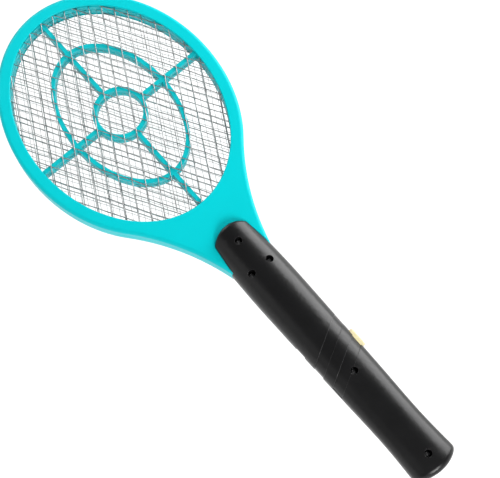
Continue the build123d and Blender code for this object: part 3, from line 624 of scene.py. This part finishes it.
def cell_jacket(node, nub_ahead):
    """Plain shrink sleeve of one cell: a coloured barrel and a bright band at its nub's end."""
    finish = Finish("Sleeve of " + node)
    place = finish.place()
    _, along, _ = finish.tree.parts(place)
    low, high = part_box(node)
    flat_end, nub_end = (low.y, high.y) if nub_ahead else (high.y, low.y)
    run = (along - flat_end * METRE_IN_MM) / ((nub_end - flat_end) * METRE_IN_MM)
    band = finish.steps(run, low=0.70, high=0.705)
    crinkle = finish.noise(place, size=4.0, detail=5.0)
    sleeve = finish.tree.mix_colour(crinkle, (0.012, 0.05, 0.02, 1.0), (0.02, 0.085, 0.032, 1.0))
    finish.set("Base Color", finish.tree.mix_colour(band, sleeve, (0.55, 0.42, 0.12, 1.0)))
    finish.set("Metallic", band * 0.6)
    finish.set("Roughness", (0.28 + crinkle * 0.1).clamped())
    finish.bump(crinkle, depth=0.03, edge_round=0.2)
    return finish.material


def lamp_lens():
    """Clear red resin with a slight haze."""
    finish = Finish("Red lamp lens")
    place = finish.place()
    haze = finish.noise(place, size=0.8, detail=2.0)
    body = finish.tree.mix_colour(haze, (0.42, 0.01, 0.008, 1.0), (0.6, 0.03, 0.02, 1.0))
    finish.set("Base Color", body)
    finish.set("Roughness", (0.12 + haze * 0.08).clamped())
    finish.set("Transmission Weight", 0.35)
    finish.set("IOR", 1.5)
    return finish.material


def lead_sleeve(name, colour):
    """Soft insulation on a stranded lead."""
    finish = Finish(name)
    place = finish.place()
    strands = finish.noise(place, size=0.5, detail=2.0)
    finish.set("Base Color", finish.tree.mix_colour(strands, scaled(colour, 0.85), scaled(colour, 1.1)))
    finish.set("Roughness", (0.42 + strands * 0.1).clamped())
    finish.bump(strands, depth=0.02)
    return finish.material


# ---------------------------------------------------------------- wire grids


# Noise cells in a metre that a wire wanders by, and its gain, as the noise keeps to the middle of its range
WANDER_SCALE = 90.0
WANDER_GAIN = 4.0
SHORTEST_WIRE = 24.0 * MM

# Shares of a wire's thickness that its bends take beside the oval and beyond its ends
SIDE_ROOM = 0.45
END_ROOM = 0.3
RISE_ROOM = 0.01 * MM


class GridTree:
    """Geometry nodes that weave two families of wires over and under each other inside an oval."""

    SIZES = (
        ("Half Width", "NodeSocketFloat"),
        ("Half Length", "NodeSocketFloat"),
        ("Centre", "NodeSocketFloat"),
        ("Height", "NodeSocketFloat"),
        ("Pitch", "NodeSocketFloat"),
        ("Lean", "NodeSocketFloat"),
        ("Wire", "NodeSocketFloat"),
        ("Rise", "NodeSocketFloat"),
        ("Waviness", "NodeSocketFloat"),
        ("Shortest", "NodeSocketFloat"),
        ("Steps", "NodeSocketFloat"),
        ("Sides", "NodeSocketInt"),
        ("Seed", "NodeSocketFloat"),
        ("Material", "NodeSocketMaterial"),
    )

    def __init__(self):
        group = bpy.data.node_groups.new("Woven grid", "GeometryNodeTree")
        group.interface.new_socket("Geometry", in_out="OUTPUT", socket_type="NodeSocketGeometry")
        for name, kind in self.SIZES:
            group.interface.new_socket(name, in_out="INPUT", socket_type=kind)
        self.group = group
        self.tree = Tree(group)
        entry = self.tree.node("NodeGroupInput")
        self.inputs = {socket.name: Value(self.tree, socket) for socket in entry.outputs if socket.name}
        families = [self.family(1.0), self.family(-1.0)]
        joined = self.join(families)
        offset = self.tree.vector(0.0, self.inputs["Centre"], self.inputs["Height"])
        placed = self.tree.out("GeometryNodeTransform", None, {"Geometry": joined, "Translation": offset})
        real = self.tree.out("GeometryNodeRealizeInstances", None, {"Geometry": placed})
        values = {"Geometry": real, "Material": self.inputs["Material"]}
        dressed = self.tree.out("GeometryNodeSetMaterial", None, values)
        self.tree.node("NodeGroupOutput", None, {0: dressed})

    def join(self, families):
        """All families of wires as one geometry."""
        node = self.tree.node("GeometryNodeJoinGeometry")
        for family in families:
            self.tree.tree.links.new(family.socket, node.inputs[0])
        return Value(self.tree, node.outputs[0])

    def family(self, side):
        """Wires that lean to one side of the head's length."""
        tree = self.tree
        half_width = self.inputs["Half Width"]
        half_length = self.inputs["Half Length"]
        pitch = self.inputs["Pitch"]
        lean = self.inputs["Lean"] * side
        sine = tree.math("SINE", lean)
        cosine = tree.math("COSINE", lean)
        reach = tree.math("SQRT", (half_width * cosine) ** 2.0 + (half_length * sine) ** 2.0)
        last = tree.math("FLOOR", reach / pitch)
        values = {
            "Count": last * 2.0 + 1.0,
            "Start Location": tree.vector(-(last * pitch)),
            "Offset": tree.vector(pitch),
        }
        feet = tree.out("GeometryNodeMeshLine", {"mode": "OFFSET"}, values)
        position = tree.out("GeometryNodeInputPosition")
        shift = tree.parts(position)[0]
        foot_x = shift * cosine
        foot_y = -(shift * sine)
        slope = foot_x * sine / half_width**2.0 + foot_y * cosine / half_length**2.0
        steepness = (sine / half_width) ** 2.0 + (cosine / half_length) ** 2.0
        share = (foot_x / half_width) ** 2.0 + (foot_y / half_length) ** 2.0
        under_root = tree.math("MAXIMUM", slope**2.0 + steepness * (1.0 - share), 0.0)
        half_chord = tree.math("SQRT", under_root) / steepness
        middle = -(slope / steepness)
        too_short = tree.math("LESS_THAN", half_chord * 2.0, self.inputs["Shortest"])
        centre = tree.vector(foot_x + sine * middle, foot_y + cosine * middle, 0.0)
        values = {"Geometry": feet, "Selection": too_short}
        long_enough = tree.out("GeometryNodeDeleteGeometry", {"domain": "POINT"}, values)
        straight = self.straight_wires(long_enough, centre, half_chord, -lean)
        return self.bend(straight, sine, cosine, side)

    def straight_wires(self, feet, centre, half_chord, turn):
        """One straight curve on each foot, moved to its centre, turned and stretched to its chord."""
        tree = self.tree
        capture = tree.node("GeometryNodeCaptureAttribute", {"domain": "POINT"}, {0: feet})
        capture.capture_items.new("FLOAT", "Stretch")
        tree.tree.links.new(half_chord.socket, capture.inputs["Stretch"])
        values = {"Geometry": Value(tree, capture.outputs[0]), "Position": centre}
        moved = tree.out("GeometryNodeSetPosition", None, values)
        values = {"Start": (0.0, -1.0, 0.0), "End": (0.0, 1.0, 0.0)}
        line = tree.out("GeometryNodeCurvePrimitiveLine", None, values)
        values = {
            "Points": moved,
            "Instance": line,
            "Rotation": tree.vector(0.0, 0.0, turn),
            "Scale": tree.vector(1.0, Value(tree, capture.outputs["Stretch"]), 1.0),
        }
        placed = tree.out("GeometryNodeInstanceOnPoints", None, values)
        real = tree.out("GeometryNodeRealizeInstances", None, {"Geometry": placed})
        crossing = self.inputs["Pitch"] / tree.math("SINE", self.inputs["Lean"] * 2.0)
        values = {"Curve": real, "Length": crossing / self.inputs["Steps"]}
        return tree.out("GeometryNodeResampleCurve", {"mode": "LENGTH"}, values)

    def bend(self, curves, sine, cosine, side):
        """Over and under at each crossing, with a slight random wander, then a round section."""
        tree = self.tree
        pitch = self.inputs["Pitch"]
        position = tree.out("GeometryNodeInputPosition")
        x, y, _ = tree.parts(position)
        own = tree.math("COSINE", (x * cosine - y * sine) / pitch * math.pi)
        other = tree.math("COSINE", (x * cosine + y * sine) / pitch * math.pi)
        rise = self.inputs["Rise"] * own * other * side
        seed = self.inputs["Seed"] + side
        values = {"Vector": position, "Scale": WANDER_SCALE, "Detail": 1.0, "W": seed}
        wander = tree.out("ShaderNodeTexNoise", {"noise_dimensions": "4D"}, values, output="Color")
        drift_x, drift_y, _ = tree.parts(wander)
        slide = self.inputs["Waviness"] * WANDER_GAIN
        offset = tree.vector((drift_x - 0.5) * slide, (drift_y - 0.5) * slide, rise)
        bent = tree.out("GeometryNodeSetPosition", None, {"Geometry": curves, "Offset": offset})
        values = {"Resolution": self.inputs["Sides"], "Radius": self.inputs["Wire"] * 0.5}
        profile = tree.out("GeometryNodeCurvePrimitiveCircle", None, values)
        values = {"Curve": bent, "Profile Curve": profile, "Fill Caps": True}
        tubes = tree.out("GeometryNodeCurveToMesh", None, values)
        return tree.out("GeometryNodeSetShadeSmooth", None, {"Geometry": tubes})


def set_inputs(modifier, values):
    """Sets a geometry modifier's inputs by their sockets' identifiers."""
    for item in modifier.node_group.interface.items_tree:
        if item.item_type == "SOCKET" and item.in_out == "INPUT" and item.name in values:
            modifier[item.identifier] = values[item.name]


def run_tree(name, group, values, base=None):
    """An object whose plain mesh is the tree's result."""
    piece = new_object(name, base or bpy.data.meshes.new(name))
    modifier = piece.modifiers.new("Nodes", "NODES")
    modifier.node_group = group
    set_inputs(modifier, values)
    bpy.context.view_layer.update()
    return apply_modifiers(piece)


def weave_grid(node, name, wire, pitch, steps, sides, seed, material):
    """A woven grid as large as the node that it stands for, with steps between crossings."""
    low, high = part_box(node)
    values = {
        "Half Width": (high.x - low.x) / 2 - wire * SIDE_ROOM,
        "Half Length": (high.y - low.y) / 2 - wire * END_ROOM,
        "Centre": (high.y + low.y) / 2,
        "Height": (high.z + low.z) / 2,
        "Pitch": pitch,
        "Lean": settings("grids").half_angle,
        "Wire": wire,
        "Rise": (high.z - low.z - wire) / 2 - RISE_ROOM,
        "Waviness": settings("grids").waviness,
        "Shortest": SHORTEST_WIRE,
        "Steps": float(steps),
        "Sides": sides,
        "Seed": float(seed),
        "Material": material,
    }
    group = bpy.data.node_groups.get("Woven grid") or GridTree().group
    grid = run_tree(name, group, values)
    finish_piece(grid, "body", material, [node])


# ---------------------------------------------------------------- screws


SCREW_RINGS = 14
SCREW_SEGMENTS = 48
SCREW_SEED = 3

# A screw's length over its head's height, and how far and how steeply the head's dome falls
SCREW_TO_HEAD = 8
DOME_FALL = 0.45
DOME_POWER = 1.5
RECESS_SLOPE = 0.22 * MM


def screw_mesh(radius, height, shank_radius, shank_length):
    """Pan head with a cross recess on a short shank, its seat at the origin."""
    sizes = settings("screws")
    segments = SCREW_SEGMENTS
    work = bmesh.new()
    rows = []
    for ring in range(1, SCREW_RINGS + 1):
        share = ring / SCREW_RINGS
        row = []
        for segment in range(segments):
            angle = math.tau * segment / segments
            x = radius * share * math.cos(angle)
            y = radius * share * math.sin(angle)
            row.append(work.verts.new((x, y, head_height(x, y, radius, height, sizes))))
        rows.append(row)
    middle = work.verts.new((0, 0, head_height(0, 0, radius, height, sizes)))
    rows.append(ring_of(work, radius, 0.0, segments))
    rows.append(ring_of(work, shank_radius, 0.0, segments))
    rows.append(ring_of(work, shank_radius, -shank_length, segments))
    for segment in range(segments):
        following = (segment + 1) % segments
        work.faces.new((middle, rows[0][segment], rows[0][following]))
        for inner, outer in zip(rows, rows[1:]):
            work.faces.new((inner[segment], outer[segment], outer[following], inner[following]))
    work.faces.new(list(reversed(rows[-1])))
    bmesh.ops.recalc_face_normals(work, faces=work.faces)
    mesh = bpy.data.meshes.new("Screw")
    work.to_mesh(mesh)
    work.free()
    return mesh


def ring_of(work, radius, height, segments):
    """A level ring of new points about the Z axis."""
    angles = [math.tau * segment / segments for segment in range(segments)]
    return [work.verts.new((radius * math.cos(a), radius * math.sin(a), height)) for a in angles]


def head_height(x, y, radius, height, sizes):
    """Height of the head's surface: a low dome with a cross sunk into it."""
    dome = height * (1.0 - DOME_FALL * ((x * x + y * y) / radius**2) ** DOME_POWER)
    half = sizes.recess_width / 2
    arm_x = falloff(abs(x), sizes.recess_reach) * falloff(abs(y), half)
    arm_y = falloff(abs(y), sizes.recess_reach) * falloff(abs(x), half)
    return dome - sizes.recess_depth * max(arm_x, arm_y)


def falloff(distance, limit):
    """1 inside the limit and 0 outside it, with a short slope between."""
    return min(1.0, max(0.0, (limit + RECESS_SLOPE / 2 - distance) / RECESS_SLOPE))


def screw_tree():
    """Geometry nodes that put one screw on each point, each turned by its own angle."""
    group = bpy.data.node_groups.new("Screws", "GeometryNodeTree")
    group.interface.new_socket("Geometry", in_out="OUTPUT", socket_type="NodeSocketGeometry")
    group.interface.new_socket("Seats", in_out="INPUT", socket_type="NodeSocketGeometry")
    group.interface.new_socket("Screw", in_out="INPUT", socket_type="NodeSocketObject")
    group.interface.new_socket("Seed", in_out="INPUT", socket_type="NodeSocketInt")
    group.interface.new_socket("Material", in_out="INPUT", socket_type="NodeSocketMaterial")
    tree = Tree(group)
    entry = tree.node("NodeGroupInput")
    seats, screw, seed, material = [Value(tree, socket) for socket in entry.outputs][:4]
    shape = tree.out("GeometryNodeObjectInfo", None, {"Object": screw}, output="Geometry")
    values = {"Max": math.tau, "Seed": seed}
    angle = tree.out("FunctionNodeRandomValue", {"data_type": "FLOAT"}, values, output=1)
    values = {"Points": seats, "Instance": shape, "Rotation": tree.vector(0.0, 0.0, angle)}
    placed = tree.out("GeometryNodeInstanceOnPoints", None, values)
    real = tree.out("GeometryNodeRealizeInstances", None, {"Geometry": placed})
    dressed = tree.out("GeometryNodeSetMaterial", None, {"Geometry": real, "Material": material})
    tree.node("NodeGroupOutput", None, {0: dressed})
    return group


def loose_parts(node):
    """Boxes of the separate solids of a node, as (low, high) corners."""
    work = bmesh.new()
    work.from_mesh(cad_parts[node].data)
    bmesh.ops.remove_doubles(work, verts=work.verts, dist=MERGE_DISTANCE)
    left = set(work.verts)
    boxes = []
    while left:
        front = [left.pop()]
        found = []
        while front:
            vertex = front.pop()
            found.append(vertex.co.copy())
            near = [edge.other_vert(vertex) for edge in vertex.link_edges]
            fresh = [other for other in near if other in left]
            left.difference_update(fresh)
            front.extend(fresh)
        low = Vector([min(point[axis] for point in found) for axis in range(3)])
        high = Vector([max(point[axis] for point in found) for axis in range(3)])
        boxes.append((low, high))
    work.free()
    return sorted(boxes, key=lambda box: tuple(box[0]))


# ---------------------------------------------------------------- operators


class SWATTER_OT_head(bpy.types.Operator):
    """Smooth frame halves of the head"""

    bl_idname = "swatter.head"
    bl_label = "Head Frame"

    def execute(self, context):
        material = head_plastic()
        for node in ("frame_rear", "frame_front"):
            piece = smooth_copy(node, node.replace("frame", "head_frame"))
            finish_piece(piece, "body", material, [node])
        return {"FINISHED"}


class SWATTER_OT_webs(bpy.types.Operator):
    """Rib webs that keep the grids apart"""

    bl_idname = "swatter.webs"
    bl_label = "Rib Webs"

    def execute(self, context):
        material = web_plastic()
        for node in ("spacer_web_rear", "spacer_web_front"):
            piece = smooth_copy(node, node.replace("spacer", "rib"))
            finish_piece(piece, "body", material, [node])
        return {"FINISHED"}


class SWATTER_OT_outer_grids(bpy.types.Operator):
    """Wide woven grids on both faces of the head"""

    bl_idname = "swatter.outer_grids"
    bl_label = "Outer Grids"

    def execute(self, context):
        grids = settings("grids")
        wire, pitch = grids.outer_wire, grids.outer_pitch
        steel = drawn_wire("Outer grid steel", settings("colours").outer_wire, roughness=0.30, streak=0.5)
        for seed, node in enumerate(("outer_grid_rear", "outer_grid_front")):
            weave_grid(
                node, "woven_" + node, wire, pitch,
                steps=6, sides=8, seed=seed, material=steel,
            )
        return {"FINISHED"}


class SWATTER_OT_inner_grid(bpy.types.Operator):
    """Fine live mesh in the middle of the head"""

    bl_idname = "swatter.inner_grid"
    bl_label = "Inner Mesh"

    def execute(self, context):
        grids = settings("grids")
        wire, pitch = grids.inner_wire, grids.inner_pitch
        steel = drawn_wire("Inner mesh steel", settings("colours").inner_wire, roughness=0.34, streak=0.3)
        weave_grid(
            "inner_grid", "woven_inner_mesh", wire, pitch,
            steps=4, sides=5, seed=7, material=steel,
        )
        return {"FINISHED"}


class SWATTER_OT_contacts(bpy.types.Operator):
    """Contact strips that feed the grids"""

    bl_idname = "swatter.contacts"
    bl_label = "Grid Contacts"

    def execute(self, context):
        material = plain_metal("Plated strip", (0.72, 0.58, 0.32), 0.3)
        for node in ("outer_grid_contact", "inner_grid_contact"):
            dress_node(node, material)
        return {"FINISHED"}


class SWATTER_OT_handle(bpy.types.Operator):
    """Smooth shells of the handle and the battery door"""

    bl_idname = "swatter.handle"
    bl_label = "Handle"

    def execute(self, context):
        material = handle_plastic()
        for node in ("handle_shell_rear", "handle_shell_front"):
            piece = smooth_copy(node, node.replace("handle_shell", "handle_cover"))
            finish_piece(piece, "body", material, [node])
        door = smooth_copy("battery_door", "battery_lid")
        finish_piece(door, "door", material, ["battery_door"])
        return {"FINISHED"}


class SWATTER_OT_button(bpy.types.Operator):
    """Push button in the side of the grip, and the switch behind it"""

    bl_idname = "swatter.button"
    bl_label = "Push Button"

    def execute(self, context):
        button = smooth_copy("push_button", "side_button")
        finish_piece(button, "button", button_plastic(), ["push_button"])
        dress_node("switch_plunger", small_part("White plunger", (0.72, 0.72, 0.70), 0.35))
        dress_node("switch_body", small_part("Black switch case", (0.02, 0.02, 0.022), 0.4))
        return {"FINISHED"}


class SWATTER_OT_screws(bpy.types.Operator):
    """Cross-recessed screws at the bottom of the wells"""

    bl_idname = "swatter.screws"
    bl_label = "Screws"

    def execute(self, context):
        boxes = loose_parts("housing_screws")
        radius = (boxes[0][1].x - boxes[0][0].x) / 2
        length = boxes[0][1].z - boxes[0][0].z
        height = length / SCREW_TO_HEAD
        seats = bpy.data.meshes.new("Screw seats")
        places = [((low.x + high.x) / 2, (low.y + high.y) / 2, high.z - height) for low, high in boxes]
        seats.from_pydata(places, [], [])
        pattern = new_object("Screw_pattern", screw_mesh(radius, height, radius / 2, length - height))
        material = plain_metal("Zinc plated steel", (0.42, 0.42, 0.43), 0.24, 0.3)
        values = {"Screw": pattern, "Seed": SCREW_SEED, "Material": material}
        screws = run_tree("cross_head_screws", screw_tree(), values, seats)
        bpy.data.objects.remove(pattern)
        finish_piece(screws, "body", material, ["housing_screws"])
        return {"FINISHED"}


class SWATTER_OT_circuit(bpy.types.Operator):
    """Finishes of the circuit board, its parts and the leads"""

    bl_idname = "swatter.circuit"
    bl_label = "Circuit"

    def execute(self, context):
        dress_node("circuit_board", circuit_laminate())
        dress_node("transformer_core", small_part("Ferrite", (0.04, 0.04, 0.043), 0.55))
        dress_node("transformer_winding", coil_wire())
        dress_node("storage_capacitor", small_part("Red dipped film", (0.32, 0.045, 0.02), 0.22))
        dress_node("rectifier_diodes", small_part("Black diode body", (0.02, 0.02, 0.02), 0.3))
        dress_node("bleed_resistors", small_part("Tan lacquer", (0.50, 0.33, 0.17), 0.35))
        dress_node("oscillator_transistor", small_part("Black epoxy", (0.02, 0.02, 0.021), 0.5))
        dress_node("indicator_led", lamp_lens())
        red = lead_sleeve("Red insulation", (0.45, 0.02, 0.02))
        dress_node("hv_lead_outer", red)
        dress_node("battery_leads", red)
        dress_node("hv_lead_inner", lead_sleeve("White insulation", (0.65, 0.65, 0.65)))
        return {"FINISHED"}


class SWATTER_OT_batteries(bpy.types.Operator):
    """Finishes of the cells, their springs and plates"""

    bl_idname = "swatter.batteries"
    bl_label = "Batteries"

    def execute(self, context):
        for side, nub_ahead in (("left", False), ("right", True)):
            node = "battery_" + side
            cell = smooth_copy(node, "cell_" + side)
            finish_piece(cell, "body", cell_jacket(node, nub_ahead), [node])
        plate = plain_metal("Plated contact", (0.68, 0.66, 0.60), 0.28)
        for node in ("battery_terminal_plates", "battery_bridge_plate"):
            dress_node(node, plate)
        springs = smooth_copy("battery_springs", "cell_springs", 60.0)
        steel = plain_metal("Spring steel", (0.60, 0.60, 0.60), 0.25)
        finish_piece(springs, "body", steel, ["battery_springs"])
        return {"FINISHED"}


# ---------------------------------------------------------------- stage


def stage_material():
    """Matt pale grey that gives off a little light, with clouds nearly a metre wide."""
    finish = Finish("Pale floor")
    place = finish.place(MM)
    cloud = finish.noise(place, size=0.9, detail=2.0)
    grey = finish.tree.mix_colour(cloud, (0.34, 0.34, 0.34, 1.0), (0.36, 0.36, 0.36, 1.0))
    finish.set("Base Color", grey)
    finish.set("Roughness", 0.9)
    finish.set("Specular IOR Level", 0.1)
    finish.set("Emission Color", WHITE)
    finish.set("Emission Strength", settings("stage").glow)
    return finish.material


def studio_shell(drop):
    """Round pale floor, drop below the swatter, that bends up into a low pale wall."""
    flat_radius = STUDIO_RADIUS - STUDIO_BEND
    rings = [(flat_radius, 0.0)]
    for step in range(1, STUDIO_BEND_STEPS + 1):
        angle = math.pi / 2 * step / STUDIO_BEND_STEPS
        rings.append((flat_radius + STUDIO_BEND * math.sin(angle), STUDIO_BEND * (1.0 - math.cos(angle))))
    rings.append((STUDIO_RADIUS, STUDIO_WALL))
    work = bmesh.new()
    rows = [ring_of(work, radius, height - drop, STUDIO_SEGMENTS) for radius, height in rings]
    work.faces.new(rows[0])
    for low, high in zip(rows, rows[1:]):
        for here in range(STUDIO_SEGMENTS):
            following = (here + 1) % STUDIO_SEGMENTS
            work.faces.new((low[here], low[following], high[following], high[here]))
    bmesh.ops.recalc_face_normals(work, faces=work.faces)
    bmesh.ops.reverse_faces(work, faces=work.faces)
    mesh = bpy.data.meshes.new("Floor")
    work.to_mesh(mesh)
    work.free()
    for face in mesh.polygons:
        face.use_smooth = True
    mesh.materials.append(stage_material())
    return new_object("Floor", mesh)


def facing(place, target):
    """Turn of a light or a camera at place that looks at the target."""
    return (Vector(target) - Vector(place)).to_track_quat("-Z", "Y")


def area_light(name, place, target, size, power):
    """A soft square light that faces the target."""
    light = bpy.data.lights.new(name, "AREA")
    light.shape = "SQUARE"
    light.size = size
    light.energy = power
    lamp = new_object(name, light)
    lamp.location = place
    lamp.rotation_mode = "QUATERNION"
    lamp.rotation_quaternion = facing(place, target)


class SWATTER_OT_stage(bpy.types.Operator):
    """Pale floor, soft lights and the camera"""

    bl_idname = "swatter.stage"
    bl_label = "Studio"

    def execute(self, context):
        stage = settings("stage")
        studio_shell(stage.drop)
        world = bpy.data.worlds.new("Studio")
        world.use_nodes = True
        context.scene.world = world
        sky = Tree(world.node_tree)
        shade = sky.node("ShaderNodeBackground", None, {"Color": WHITE, "Strength": stage.ambient})
        output = sky.node("ShaderNodeOutputWorld")
        world.node_tree.links.new(shade.outputs[0], output.inputs[0])
        context.scene.view_settings.view_transform = "Standard"
        for name, place, size, power in SOFT_BOXES:
            area_light(name, place, (0, 0, 0), size, power * stage.light)
        camera = new_object("Camera", bpy.data.cameras.new("Camera"))
        camera.data.sensor_width = SENSOR_WIDTH
        camera.data.lens = stage.lens
        camera.location = stage.eye
        camera.rotation_mode = "QUATERNION"
        aim = facing(stage.eye, stage.target)
        camera.rotation_quaternion = aim @ Quaternion((0, 0, 1), stage.roll)
        context.scene.camera = camera
        return {"FINISHED"}


# ---------------------------------------------------------------- panel and registration


class SWATTER_PT_pieces(bpy.types.Panel):
    """One button for each step, and the settings below"""

    bl_idname = "SWATTER_PT_pieces"
    bl_label = "Electric Fly Swatter"
    bl_space_type = "VIEW_3D"
    bl_region_type = "UI"
    bl_category = "Swatter"

    def draw(self, context):
        for step in STEPS:
            self.layout.operator(step.bl_idname)
        for group in SETTINGS:
            box = self.layout.box()
            box.label(text=group.capitalize())
            for name in SETTINGS[group].__annotations__:
                box.prop(settings(group), name)


STEPS = (
    SWATTER_OT_stage,
    SWATTER_OT_head,
    SWATTER_OT_webs,
    SWATTER_OT_outer_grids,
    SWATTER_OT_inner_grid,
    SWATTER_OT_contacts,
    SWATTER_OT_handle,
    SWATTER_OT_button,
    SWATTER_OT_screws,
    SWATTER_OT_circuit,
    SWATTER_OT_batteries,
)
SETTINGS = {
    "grids": SwatterGridSettings,
    "screws": SwatterScrewSettings,
    "colours": SwatterColourSettings,
    "stage": SwatterStageSettings,
}


def register():
    """Makes the operators, the panel and the scene's settings known to Blender."""
    for group in SETTINGS.values():
        bpy.utils.register_class(group)
    for step in STEPS:
        bpy.utils.register_class(step)
    bpy.utils.register_class(SWATTER_PT_pieces)
    for name, group in SETTINGS.items():
        setattr(bpy.types.Scene, "swatter_" + name, bpy.props.PointerProperty(type=group))


def unregister():
    """Takes back what register did, in the opposite order."""
    for name in SETTINGS:
        delattr(bpy.types.Scene, "swatter_" + name)
    bpy.utils.unregister_class(SWATTER_PT_pieces)
    for step in reversed(STEPS):
        bpy.utils.unregister_class(step)
    for group in SETTINGS.values():
        bpy.utils.unregister_class(group)


def main():
    """Runs each step once."""
    register()
    for step in STEPS:
        area, name = step.bl_idname.split(".")
        getattr(getattr(bpy.ops, area), name)()


if __name__ == "__main__":
    main()
